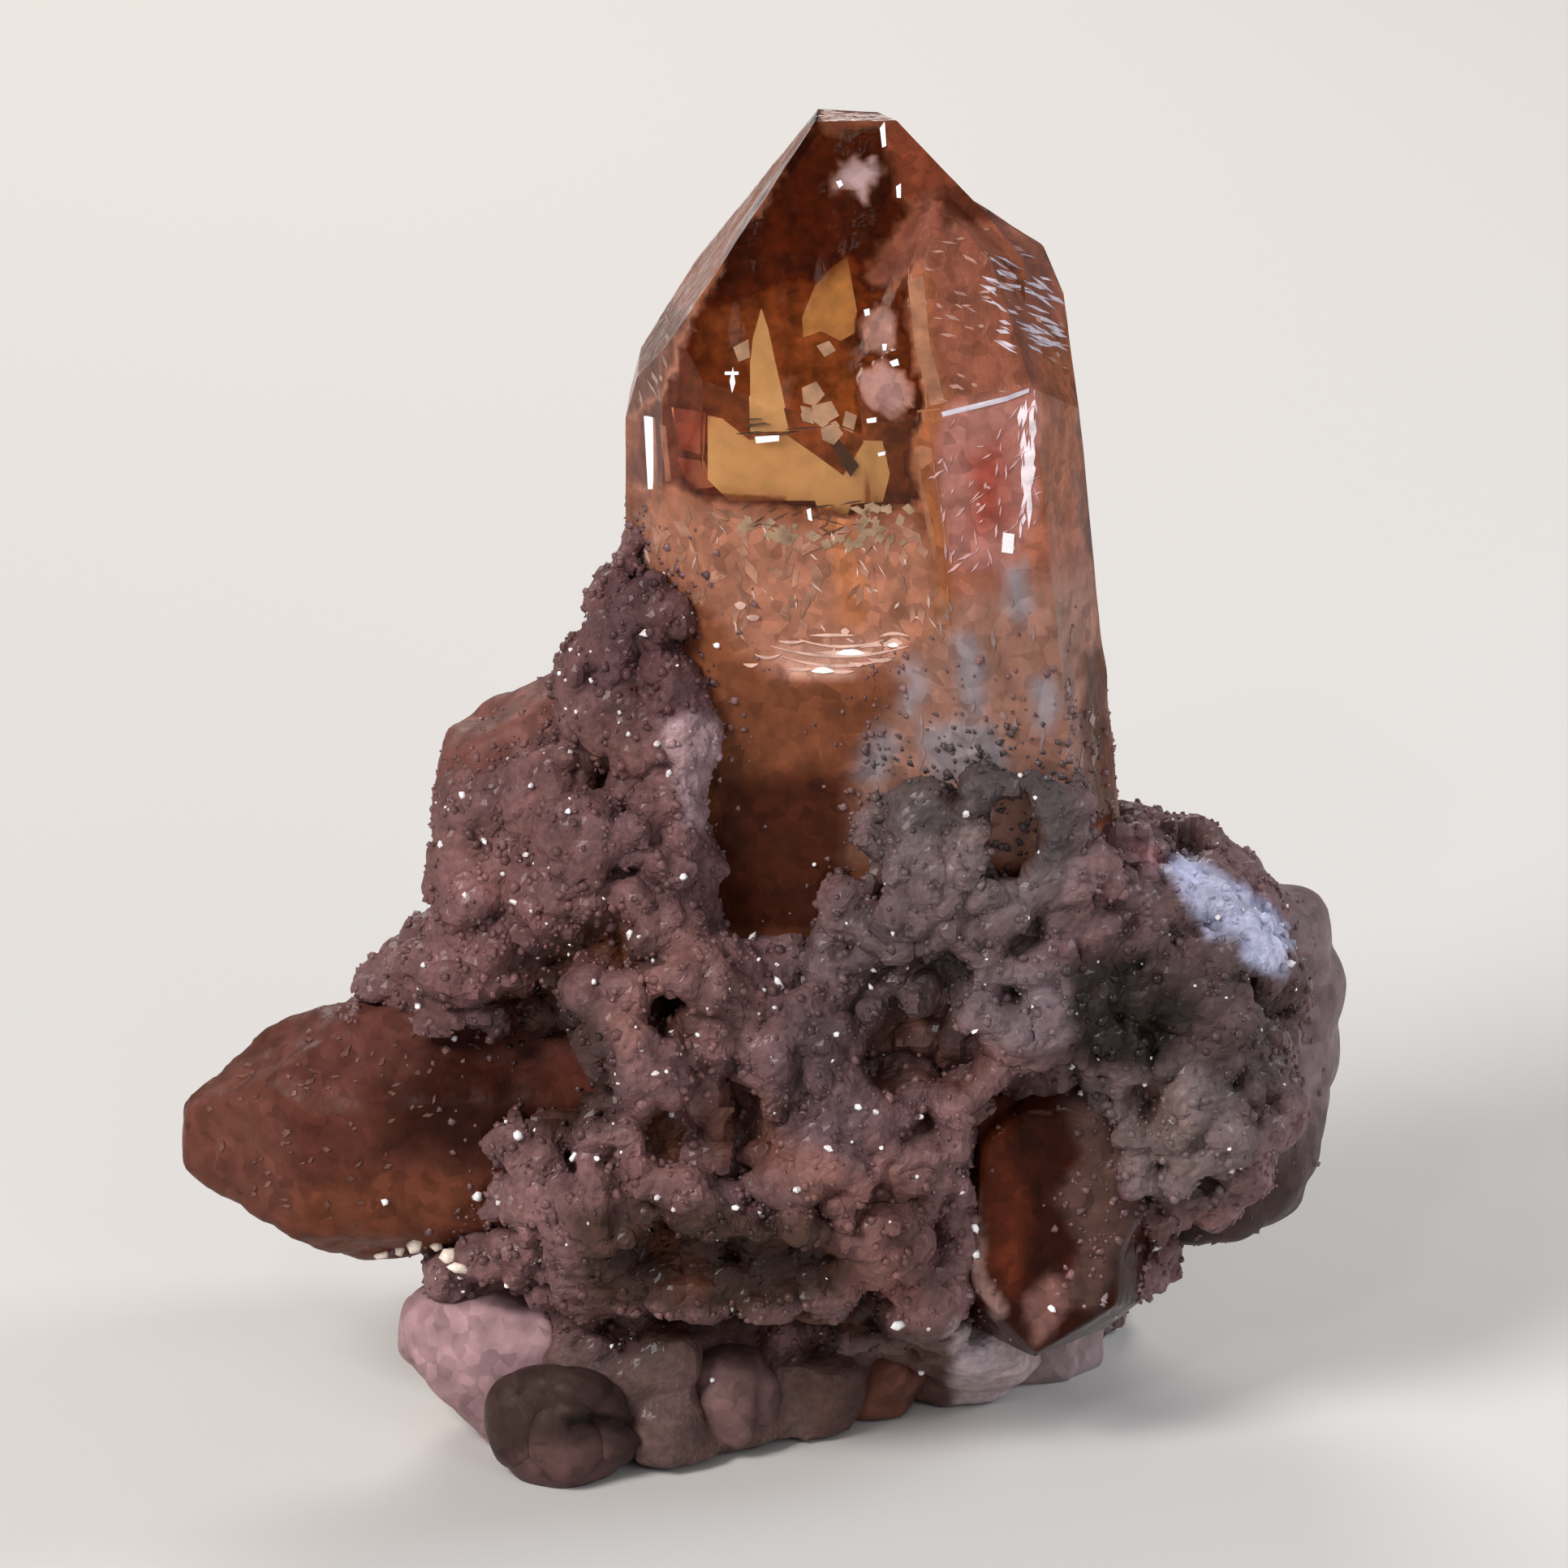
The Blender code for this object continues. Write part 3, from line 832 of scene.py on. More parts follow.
def grain_mesh(name, shapes, places, normals, sizes, tones, rng, lean=0.45, raise_by=0.1):
    """One mesh of many closed grains standing at these places."""
    kind = rng.integers(len(shapes), size=len(places))
    turns = turned_to(normals, rng, lean)
    all_points, all_triangles, all_tones = [], [], []
    start = 0
    for number, (shape, triangles) in enumerate(shapes):
        mine = np.flatnonzero(kind == number)
        stretch = np.column_stack([np.ones((len(mine), 2)), rng.uniform(0.7, 1.5, len(mine))])
        local = shape[None] * stretch[:, None] * sizes[mine, None, None]
        placed = np.einsum("nij,nkj->nki", turns[mine], local)
        placed += (places[mine] + normals[mine] * (sizes[mine, None] * raise_by))[:, None]
        placed[:, :, 2] = np.maximum(placed[:, :, 2], 0)
        offsets = start + np.arange(len(mine))[:, None, None] * len(shape)
        all_points.append(placed.reshape(-1, 3))
        all_triangles.append((triangles[None] + offsets).reshape(-1, 3))
        all_tones.append(np.repeat(tones[mine], len(shape), axis=0))
        start += len(mine) * len(shape)
    mesh = triangle_mesh(name, np.vstack(all_points), np.vstack(all_triangles))
    set_colours(mesh, "tone", np.vstack(all_tones))
    # The grains take none of the crust's painted shade.
    set_values(mesh, "unshaded", np.ones(len(mesh.vertices)))
    return mesh


# How many shapes the grains have, the least grain's width in millimetres, and how much wider the widest is.
GRAIN_SHAPES = 24
LEAST_GRAIN = 0.14
GRAIN_RANGE = 0.26
# The share of the sparkling grains that are made near white as painted glints, and that colour; and how large
# sparkling grains are beside rounded ones.
GLINT_SPARK_SHARE = 0.35
GLINT_TONE = (0.86, 0.80, 0.80)
SPARK_SIZE = 0.65
# The druse's meshes: the piece of crust that each stands on, whether its grains sparkle, and their number.
DRUSE = {
    "druse_left": ("crust_left", False, 5500),
    "druse_front": ("crust_front", False, 5500),
    "druse_back": ("crust_back", False, 4000),
    "sparks_left": ("crust_left", True, 1000),
    "sparks_front": ("crust_front", True, 1000),
    "sparks_back": ("crust_back", True, 600),
}


def build_druse(crust):
    """The crust's grains, rounded and sparkling, as one mesh of each for its left, its front and its back."""
    dull = crust_material("sugar_grains", smooth=0.35, rough=0.7, gloss=0.25)
    shiny = crust_material("spark_grains", smooth=0.1, rough=0.25, gloss=0.8)
    rng = np.random.default_rng(SEED)
    sugar = sugar_shapes(rng, GRAIN_SHAPES)
    spark = spark_shapes(rng, GRAIN_SHAPES)
    grounds = {piece.name: piece.data for piece in crust}

    def growing(middle, normals):
        """How dense the grains are at a place."""
        bare = 1 - 0.97 * foot_share(middle)
        return (middle[:, 2] > 0.5) * (normals[:, 2] > -0.9) * (open_crust(middle) + 0.04) * bare

    for name, (ground, sparkling, count) in DRUSE.items():
        shapes, material = (spark, shiny) if sparkling else (sugar, dull)
        places, normals = scattered(grounds[ground], count, rng, growing)
        sizes = LEAST_GRAIN + GRAIN_RANGE * rng.random(count) ** 3
        tones = crust_tone(places) * rng.uniform(0.8, 1.35, (count, 1))
        if sparkling:
            # Painted glints: a share of the sparkling grains turns near white.
            tones = np.where(rng.random((count, 1)) < GLINT_SPARK_SHARE, GLINT_TONE, tones)
            sizes = sizes * SPARK_SIZE
        mesh = grain_mesh(name, shapes, places, normals, sizes, tones, rng, raise_by=0.0)
        shade(mesh, not sparkling)
        add_piece(name, mesh, "crust", material)


# ---------------------------------------------------------------- crystals

MAIN_CENTRE = (1.0, 0.5, 30.0)
MAIN_FRONT = face_plane(MAIN_CENTRE, -6, 0, 4.8)
MAIN_FRONT_TOP = face_plane(MAIN_CENTRE, 3, 26, 5.85)
MAIN_BEVEL = face_plane(MAIN_CENTRE, -39, 0, 5.9)


def painted(points, normals, colours, frost, paints, seed=77):
    """Lays paints on what faces the front. Each is an outline, its edge's width, a colour and a frost."""
    shifted = points + noise_vector(points, 0.8, seed) * 0.26
    facing = smoothstep(-0.02, 0.1, -(normals @ np.array(FORWARD)))
    for outline, blur, colour, paint_frost in paints:
        share = in_outline(shifted, outline, blur) * facing
        frost = mixed(frost, paint_frost, share)
        colours = mixed(colours, colour, share)
    return colours, frost


def as_surface(paints):
    """Paints whose colours are as seen, with surface colours instead."""
    return [(outline, blur, surface(colour), frost) for outline, blur, colour, frost in paints]


# The most that the frost on a mesh is; above 1, so that the patches of the material leave it opaque.
MOST_FROST = 1.4


def finish_crystal(node, mesh, look, relief, frost, skin, paints, edge):
    """Makes a piece of a crystal's mesh.

    Relief moves its points along their normals, frost says where it is etched, skin is the colour there, and
    faces that meet at more than the edge's degrees keep a sharp edge.
    """
    points = points_of(mesh)
    normals = normals_of(mesh)
    pushed(mesh, relief)
    shade(mesh, True)
    mesh.set_sharp_from_angle(angle=math.radians(edge))
    colours, opacity = painted(points, normals, skin, frost, paints)
    set_values(mesh, "frost", np.clip(opacity, 0, MOST_FROST))
    set_skin(mesh, colours)
    return add_piece("topaz_" + node.replace("_crystal", ""), mesh, *look, [node])


# Skin of the main crystal and its twin, as outlines of pixels.
TWIN_FRONT = rows(
    "1118,330 1160,262 1215,258 1275,300 1312,370 1326,480 1328,650 1345,760 1372,1060 1120,1060 1132,830 "
    "1160,760 1146,640 1130,560 1150,500 1128,430")
TWIN_TOP = rows("1150,262 1215,255 1300,330 1316,470 1160,500 1132,400")
TWIN_MIDDLE = rows("1165,505 1278,484 1282,640 1240,700 1165,700 1150,600")
TWIN_RED = rows("1195,560 1235,540 1240,640 1200,660")
TWIN_RIGHT_STRIP = rows("1282,400 1322,400 1328,650 1285,650")
TWIN_LOW = rows("1130,745 1345,700 1356,900 1340,1060 1040,1060 1050,900 1110,830")
TWIN_LOW_RIGHT = rows("1330,800 1362,790 1378,1010 1340,1030")
TWIN_SMALL_FACETS = rows("1150,232 1200,226 1240,244 1250,274 1215,270 1175,276 1150,290")
SEAM = rows(
    "1120,338 1142,338 1148,430 1170,500 1150,530 1144,560 1160,640 1172,700 1170,775 1150,775 1152,700 "
    "1132,600 1122,556 1142,500 1128,430")
SANDY_BAND = rows(
    "828,606 900,622 1000,648 1120,640 1148,700 1160,790 1060,806 915,800 860,740 790,700 786,640")
BELOW_ARC = rows("905,838 1120,838 1080,905 1040,960 880,960 880,900")
LOW_WINDOW = rows("880,950 1050,950 1040,1160 850,1160")
TIP_FROST = rows(
    "1026,222 1042,204 1048,192 1062,202 1082,192 1084,210 1074,222 1066,248 1054,238 1046,230 1032,234")
UPPER_PIT = rows("1064,390 1084,378 1106,388 1104,420 1086,438 1066,424")
LOWER_PIT = rows("1058,460 1082,444 1112,456 1120,492 1098,520 1074,506 1060,486")
UPPER_BEVEL = rows("785,374 857,382 900,304 943,236 998,156 960,146 890,210 840,280 795,345")
TOP_RIGHT = rows("1088,140 1120,145 1190,222 1150,238 1118,256 1098,224")
DIVIDE = rows("1143,240 1162,238 1152,290 1120,336 1082,354 1062,347 1100,300")
LOWER_FRONT = rows(
    "760,606 800,600 830,612 898,624 1000,628 1014,650 1036,664 1056,634 1095,628 1150,622 1160,1100 "
    "760,1180")
# Tints of the clear front: what shows through them is multiplied by the colour's root.
TOP_TINT = rows("1000,140 1100,150 1116,240 1078,350 1046,312 1000,350 950,356 860,386 930,250")
BEVEL_TINT = rows("790,380 860,384 840,500 868,508 840,600 770,600")
TOP_EDGE = rows("1010,128 1110,128 1106,156 1016,160")
CLOUDS = outlines("""
    1104,826 1130,815 1142,850 1130,884 1110,870
    1178,792 1202,786 1214,830 1208,884 1186,880
    1272,840 1296,830 1304,870 1290,900 1274,890
    1040,905 1080,880 1110,910 1090,960 1050,960
    1130,900 1180,890 1230,900 1240,950 1150,960
    1240,700 1262,690 1270,740 1256,770 1240,750
""")
UPPER_ARC = rows("960,794 1112,786 1114,804 1050,814 966,812")
LOWER_ARC = rows("970,818 1052,818 1050,834 976,832")
ARC_GLOW = rows("950,776 1120,770 1128,805 1060,836 965,834 935,812")
SANDY_AMBER = rows("1014,646 1050,636 1066,700 1062,790 1036,790 1030,715")
GREY_FACET = rows("800,358 850,384 818,485 780,512 756,512 756,450 776,400")
TWIN_SKIN = (152, 92, 72)
# Paints: an outline, the width of its edge, a colour and a frost.
MAIN_TINTS = [(TOP_TINT, 14, (0.14, 0.045, 0.016), 0.09), (BEVEL_TINT, 10, (0.6, 0.25, 0.16), 0.09)]
MAIN_PAINTS = (
    (LOWER_FRONT, 10, (122, 70, 46), 0.8),
    (TWIN_FRONT, 10, TWIN_SKIN, 0.75),
    (TWIN_TOP, 12, (126, 72, 54), 0.75),
    (TWIN_MIDDLE, 8, (162, 108, 98), 0.85),
    (TWIN_RED, 20, (150, 70, 56), 0.7),
    (TWIN_RIGHT_STRIP, 6, (140, 80, 52), 0.5),
    (TWIN_LOW, 30, (142, 102, 88), 0.9),
    (TWIN_LOW_RIGHT, 8, (84, 44, 28), 0.6),
    (TWIN_SMALL_FACETS, 6, (84, 40, 26), 0.6),
    (SEAM, 6, (150, 88, 54), 0.8),
    (UPPER_BEVEL, 4, (132, 72, 48), 0.7),
    (TOP_RIGHT, 5, (118, 58, 38), 0.55),
    (DIVIDE, 6, (124, 70, 54), 0.7),
    (TOP_EDGE, 3, (104, 56, 40), 0.7),
    *((outline, 12, (138, 126, 130), 0.9) for outline in CLOUDS),
    (SANDY_BAND, 16, (160, 106, 84), 0.8),
    (SANDY_AMBER, 5, (172, 108, 73), 0.7),
    # The fracture's band and streaks: their own pale colour with a painted glow of reflected light.
    (ARC_GLOW, 14, (166, 112, 91), 0.8),
    (UPPER_ARC, 5, (190, 140, 122), 0.8),
    (LOWER_ARC, 4, (196, 148, 130), 0.8),
    (BELOW_ARC, 22, (112, 64, 42), 0.7),
    (LOW_WINDOW, 24, (64, 28, 16), 0.8),
    (TIP_FROST, 4, (158, 130, 130), 0.9),
    (UPPER_PIT, 5, (158, 114, 104), 0.85),
    (LOWER_PIT, 5, (160, 118, 110), 0.85),
    (GREY_FACET, 5, (110, 75, 63), 0.9),
)
MAIN_SKIN = (150, 92, 66)
MAIN_SKIN_ZONES = (
    ((-1.0, 5.0, 24.0), (6.0, 3.0, 3.5), (134, 96, 88)),
    ((5.0, 4.5, 30.0), (3.0, 3.0, 5.0), (156, 108, 94)),
    ((9.6, -1.0, 30.0), (2.0, 4.0, 9.0), (140, 82, 58)),
)


def main_frost(points, normals):
    """Upright patches of etching on the main crystal's back and sides, and more of it down by the crust."""
    upright = points * (1, 1, 0.3)
    patches = smoothstep(-0.25, 0.6, layered_noise(upright, 1.5, 95)) * 0.6
    patches += 0.15 * layered_noise(upright, 0.5, 96)
    low = smoothstep(27, 21, points[:, 2] + 2 * layered_noise(points, 2.0, 99)) * 0.9
    behind = np.maximum(normals[:, 1], np.abs(normals[:, 0]) - 0.55)
    return np.maximum(patches, low) * smoothstep(-0.15, 0.25, behind)


def main_skin(points):
    """Zones of colour with upright streaks."""
    streaks = 1 + 0.35 * layered_noise(points * (1, 1, 0.2), 0.7, 97)
    return zoned(points, MAIN_SKIN, MAIN_SKIN_ZONES, 1.2) * streaks[:, None]


# How high the sandy band's grains stand, in millimetres.
SANDY_HEIGHT = 0.22


def main_relief(points):
    """The main crystal's upright streaks, its low swells and its sandy band."""
    low = smoothstep(29.5, 26.5, points[:, 2]) * smoothstep(3, 6, points[:, 0])
    etched = 0.35 + low
    streaks = layered_noise(points * (1, 1, 0.35), 0.8, 93) * 0.09 * etched
    sandy = in_outline(points, SANDY_BAND, 30) * (points[:, 1] < -2)
    sandy *= knobs(points, 1.0, 98) - KNOB_MIDDLE
    return streaks + layered_noise(points * (1, 1, 0.3), 2.5, 94) * 0.012 + sandy * SANDY_HEIGHT


# A wavy sheet inside the main crystal that stands in for the brown internal reflections behind the windows,
# as
# painted reflection: the cell size of its mesh, its share of the crystal's size along each axis, how far
# behind the middle it lies, and the height of its waves and ripples, in millimetres.
VEIL_CELL = 0.7
VEIL_SHARE = (0.955, 0.28, 0.965)
VEIL_BACK = 0.7
VEIL_WAVES = 0.7
VEIL_RIPPLES = 0.2


def build_reflection_veil():
    """The wavy brown veil behind the windows: painted reflection."""
    mesh = diced("main_crystal", VEIL_CELL)
    points = points_of(mesh)
    centre = (points.min(axis=0) + points.max(axis=0)) / 2
    points = centre + (points - centre) * VEIL_SHARE
    deep = smoothstep(39.5, 35, points[:, 2])
    waves = layered_noise(points * (1, 0, 0.6), 3.0, 120) * VEIL_WAVES
    waves += layered_noise(points * (1, 0, 0.5), 0.9, 121) * VEIL_RIPPLES
    points[:, 1] += (VEIL_BACK + waves) * deep
    set_points(mesh, points)
    shade(mesh, True)
    return add_piece("reflection_veil", mesh, "clear_topaz", inner_material("reflection_veil", (0.70, 0.27, 0.10), 0.5))


def rough_relief(points, height, width, swell, seed):
    """Knobs and swells, with the foot's fold and the crust that has grown over the lower-right crystal."""
    bumps = knobbly(points, [(width, height, seed)])
    bumps += layered_noise(points, 3 * width, seed + 9) * height * swell
    fold = in_outline(points, FOOT_FOLD, 7) * (points[:, 1] < -5)
    overgrown = in_outline(points, LOWER_RIGHT_CRUST, 14) * (points[:, 1] < -1)
    overgrown *= knobs(points, 0.8, 131) - 0.3
    return bumps - fold * FOLD_DEPTH + overgrown * CRUST_OVERGROWTH


LEFT_SKIN_ZONES = (
    ((-12.5, -3.0, 13.4), (5.0, 3.5, 1.5), (100, 58, 51)),
    # lighter orange-brown low down: the crystal's own colour, lightened as painted light that shows through
    # it
    ((-12.4, -4.0, 8.0), (3.4, 3.0, 1.8), (112, 62, 43)),
    # painted shade in the middle of the crystal
    ((-10.2, -4.5, 11.7), (2.4, 3.0, 1.8), (50, 21, 13)),
    ((-17.5, -3.0, 10.0), (2.0, 3.0, 3.0), (106, 63, 52)),
)
LOWER_RIGHT_TOP = rows("1188,1372 1216,1340 1268,1304 1325,1300 1334,1326 1270,1340 1226,1372 1204,1400")
# The glassy rim on the lower-right crystal's left edge: its own colour, lightened by painted sheen.
LOWER_RIGHT_SHEEN_RIM = rows("1172,1380 1196,1376 1210,1560 1240,1620 1226,1632 1190,1560")
LOWER_RIGHT_SPOT = rows("1262,1600 1292,1572 1318,1590 1300,1640 1272,1656")
LOWER_RIGHT_LEFT = rows("1196,1390 1240,1360 1270,1480 1250,1600 1215,1560")
LOWER_RIGHT_CRUST = rows(
    "1322,1290 1350,1320 1416,1476 1380,1540 1350,1610 1304,1600 1332,1530 1296,1480 1338,1420 1308,1360")
LOWER_RIGHT_PAINTS = (
    (LOWER_RIGHT_LEFT, 18, (100, 44, 26), 0.7),
    (LOWER_RIGHT_TOP, 6, (160, 82, 56), 0.85),
    (LOWER_RIGHT_SHEEN_RIM, 5, (150, 116, 108), 0.85),
    (LOWER_RIGHT_SPOT, 10, (140, 98, 92), 0.8),
    (LOWER_RIGHT_CRUST, 12, (90, 64, 58), 1.1),
)
REAR_SKIN_ZONES = (
    ((14.0, 0.0, 6.0), (4.0, 6.0, 3.6), (68, 52, 51)),
    ((15.6, -1.4, 13.2), (1.0, 1.4, 1.2), (160, 146, 150)),
)
# The fold and the pink patch of the foot's left crystal.
FOOT_FOLD = rows("694,1752 730,1742 786,1752 786,1764 732,1757 702,1764")
FOOT_PINK = rows("628,1796 660,1776 740,1770 768,1800 720,1845 645,1842")
FOOT_PAINTS = ((FOOT_PINK, 10, (88, 64, 62), 1.0), (FOOT_FOLD, 6, (40, 30, 28), 1.0))
# How deep the fold is, and how far the crust that has grown over the lower-right crystal stands out.
FOLD_DEPTH = 0.3
CRUST_OVERGROWTH = 0.6
CRYSTAL_PAINTS = {"lower_right_crystal": LOWER_RIGHT_PAINTS, "foot_crystal_left": FOOT_PAINTS}

# Crystals in the crust: look, cell size, passes of rounding, relief (height, width, swell), least and most
# frost, skin colour as seen, and its zones.
SMALL_CRYSTALS = {
    "left_crystal": ("red", 0.22, 4, (0.24, 0.9, 0.9), (0.6, 0.95), (91, 49, 39), LEFT_SKIN_ZONES),
    "shoulder_crystal": ("red", 0.2, 14, (0.55, 1.3, 1.2), (0.8, 1.0), (118, 76, 69), ()),
    "lower_right_crystal": ("glassy", 0.22, 2, (0.08, 1.6, 0.8), (0.6, 0.9), (51, 18, 9), ()),
    "rear_right_crystal": ("smoky", 0.2, 24, (0.8, 1.9, 0.9), (0.7, 1.0), (118, 98, 99), REAR_SKIN_ZONES),
    "milky_crystal": ("milky", 0.18, 14, (0.3, 1.2, 1.3), (0.8, 1.0), (160, 127, 131), ()),
    "foot_crystal_left": ("smoky", 0.16, 160, (0.5, 1.7, 1.5), (0.85, 1.0), (62, 46, 43), ()),
    "foot_crystal_middle": ("smoky", 0.16, 4, (0.12, 1.2, 1.0), (0.8, 1.0), (108, 82, 80), ()),
    "foot_crystal_centre": ("red", 0.18, 3, (0.1, 1.0, 1.0), (0.7, 1.0), (112, 72, 60), ()),
    "foot_crystal_right": ("smoky", 0.2, 6, (0.12, 1.2, 1.0), (0.8, 1.0), (160, 140, 142), ()),
}


def grounded(mesh):
    """Sets a rounded shape back down on the ground."""
    points = points_of(mesh)
    points[:, 2] -= points[:, 2].min()
    set_points(mesh, points)


# How crystals get thinner towards an end: along which axis, from where to where, and by what share.
TAPERS = {
    "left_crystal": ((0, -13.0, -19.5, 0.45), (2, 11.0, 14.2, 0.35), (2, 9.0, 5.8, 0.35)),
    "shoulder_crystal": ((2, 20.0, 24.5, 0.5), (2, 19.0, 15.0, 0.3)),
    "rear_right_crystal": ((2, 10.5, 16.0, 0.4), (2, 9.0, 4.0, 0.45), (0, 13.5, 17.0, 0.35)),
    "milky_crystal": ((0, -9.5, -12.6, 0.3), (2, 3.0, 5.0, 0.3)),
    "foot_crystal_right": ((0, 7.0, 10.0, 0.4),),
}
# How far crystals whose corners are dissolved away go from a box towards an egg.
ROUNDNESS = {
    "foot_crystal_left": 0.7,
    "foot_crystal_middle": 0.55,
    "foot_crystal_centre": 0.4,
    "milky_crystal": 0.35,
    "rear_right_crystal": 0.12,
}


def rounded(mesh, share):
    """Carries a mesh this share of the way from a box to an egg."""
    points = points_of(mesh)
    low, high = points.min(axis=0), points.max(axis=0)
    place = (points - (low + high) / 2) / ((high - low) / 2)
    egg = np.abs(place).max(axis=1) / np.maximum(np.linalg.norm(place, axis=1), 1e-6)
    set_points(mesh, (low + high) / 2 + place * (1 + share * (egg - 1))[:, None] * (high - low) / 2)


def tapered(mesh, tapers):
    """Makes a mesh thinner from front to back towards its ends."""
    points = points_of(mesh)
    middle = (points[:, 1].min() + points[:, 1].max()) / 2
    for axis, start, end, share in tapers:
        narrow = np.clip((points[:, axis] - start) / (end - start), 0, 1) ** 1.5 * share
        points[:, 1] = middle + (points[:, 1] - middle) * (1 - narrow)
    set_points(mesh, points)


CRYSTAL_SLOTS = {
    "sherry": "clear_topaz",
    "red": "etched_topaz",
    "glassy": "etched_topaz",
    "smoky": "smoky_topaz",
    "milky": "milky_topaz",
}
# Crystal materials: tint, its density, roughness where clear and where frosted, how clear the frost is, gloss
# and tint of the mirroring.
CRYSTAL_LOOKS = {
    "sherry": ((0.94, 0.62, 0.22), 160, 0.02, 0.4, 0.1, 0.15, (0.3, 0.25, 0.22)),
    "red": ((0.7, 0.25, 0.08), 300, 0.2, 0.55, 0.2, 0.07, MIRROR_TINT),
    "glassy": ((0.7, 0.22, 0.05), 300, 0.05, 0.25, 0.2, 0.05, MIRROR_TINT),
    "smoky": ((0.6, 0.5, 0.48), 160, 0.25, 0.55, 0.15, 0.12, MIRROR_TINT),
    "milky": ((0.8, 0.7, 0.72), 80, 0.3, 0.6, 0.1, 0.15, MIRROR_TINT),
}


# The cell size of the main crystal's mesh, and the seed of the first small crystal's relief.
MAIN_CELL = 0.27
SMALL_SEED = 101


def build_crystals():
    """The main crystal, then the smaller ones."""
    looks = {
        kind: (CRYSTAL_SLOTS[kind], crystal_material(f"{kind}_topaz", *values))
        for kind, values in CRYSTAL_LOOKS.items()
    }
    mesh = diced("main_crystal", MAIN_CELL)
    points = points_of(mesh)
    made = [finish_crystal(
        "main_crystal", mesh, looks["sherry"], main_relief(points), main_frost(points, normals_of(mesh)),
        main_skin(points), MAIN_TINTS + as_surface(MAIN_PAINTS), edge=16)]
    for number, (node, row) in enumerate(SMALL_CRYSTALS.items()):
        kind, cell, rounding, relief, (low, high), base, zones = row
        seed = SMALL_SEED + 10 * number
        mesh = remeshed(cut_solid(node), cell, rounding)
        rounded(mesh, ROUNDNESS.get(node, 0))
        tapered(mesh, TAPERS.get(node, ()))
        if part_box(node)[0][2] < MM:
            grounded(mesh)
        points = points_of(mesh)
        frost = low + (high - low) * (0.5 + 0.5 * layered_noise(points, 1.2, seed + 1))
        made.append(finish_crystal(
            node, mesh, looks[kind], rough_relief(points, *relief, seed), frost,
            zoned(points, base, zones), as_surface(CRYSTAL_PAINTS.get(node, ())), edge=40))
    return made


# ---------------------------------------------------------------- inside and on the main crystal

# Windows: amber flakes inside the main crystal that stand in for the light seen through it, as painted light.
WIDE_LIGHT_WINDOW = rows(
    "872,512 890,516 923,542 969,536 1004,560 1039,586 1066,542 1092,542 1101,582 1092,617 1048,622 "
    "1039,657 1013,644 1004,617 898,617 872,591")
SPIRE_LIGHT_WINDOW = rows("938,380 946,402 973,529 925,531 924,446 928,416")
LEAF_LIGHT_WINDOW = rows("1044,316 1056,384 1054,410 1036,420 1012,408 990,416 988,392 1004,352 1024,330")
# White bars inside the crystal's left edge that stand in for its highlights: painted highlight.
LEFT_HIGHLIGHT_BAR = rows("790,514 805,516 811,604 795,604")
LEFT_HIGHLIGHT_SLIVER = rows("814,523 820,525 827,592 820,594")
RED_PANEL = rows("826,505 870,508 868,560 836,556")
PINK_BAND = rows("834,566 868,568 880,600 852,606")
DARK_INCLUSION = rows("1022,546 1034,542 1058,574 1048,588")
PALE_LUMPS = outlines("""
    988,478 1006,470 1016,486 1004,500 990,496
    1000,500 1024,494 1034,512 1014,524 1000,514
    1006,426 1022,420 1030,432 1016,440
    903,428 922,418 924,440 910,446
    1012,526 1030,518 1040,532 1028,546 1014,540
    1042,506 1056,512 1052,530 1038,524
    986,500 998,502 1004,520 990,516
""")
SEAM_STRIPS = outlines("""
    1118,345 1138,340 1146,425 1165,497 1146,500 1128,430
    1130,506 1158,503 1148,556 1163,640 1168,690 1150,690 1142,650 1126,560
    1150,725 1168,722 1171,768 1152,770
""")
TOP_GLINT = rows("930,538 960,536 960,543 932,546")
CROSS_GLINTS = outlines("""
    1030,224 1036,222 1039,228 1034,232
    1064,382 1071,380 1072,388 1066,390
    1087,424 1093,424 1092,432 1088,432
    1096,446 1106,442 1108,450 1100,452
    1068,516 1080,514 1080,520 1069,521
    1082,558 1091,556 1091,560 1083,562
    994,628 999,626 1001,642 996,640
    893,458 910,458 910,462 893,462
    899,470 903,452 906,472 902,484
    1084,158 1090,150 1092,180 1087,182
    1104,230 1110,226 1110,244 1105,244
""")
# The bright upright strip where the twin's edge catches the light: painted highlight.
TWIN_HIGHLIGHT_STRIP = rows("1256,492 1276,488 1277,590 1268,660 1254,668 1258,600")
TWIN_GLINT = rows("1236,656 1250,658 1248,682 1234,680")
DOME_EDGE = rows("1160,508 1240,488 1268,478 1268,483 1240,494 1162,514")

# Dashes of the fracture below the windows, pink and lightened by painted reflection, and white where they
# glint,
# as painted highlight: left end, right end, height of the ends, sag and width.
ARCS = rows(
    "972,1001,824,3,4 1022,1052,827,3,4 1006,1074,804,3,5 1060,1110,798,-2,5 1090,1113,793,2,8 "
    "998,1054,783,1,3 1036,1047,778,4,8 930,962,806,6,3 916,934,818,4,4 1046,1068,816,5,4 "
    "950,1120,796,14,3 962,1104,808,14,3 985,1090,788,10,2.5 1070,1100,812,4,4 960,990,790,3,3 "
    "1084,1120,784,-2,3 905,920,745,6,9 920,936,760,5,7")
GLINTING_ARCS = rows("1000,1028,827,2,7 1030,1066,805,2,7 1094,1108,795,2,5")
STRIATION_ZONE = rows("1212,322 1262,300 1312,362 1312,432 1236,432")
MOSAIC_ZONE = rows("905,622 1030,660 1060,622 1125,622 1122,668 1030,672 910,664")
CRACK_ZONE = rows("903,622 1100,616 1120,652 1000,660 905,648")
GRID_ZONE = rows("918,516 1000,520 1000,534 918,536")
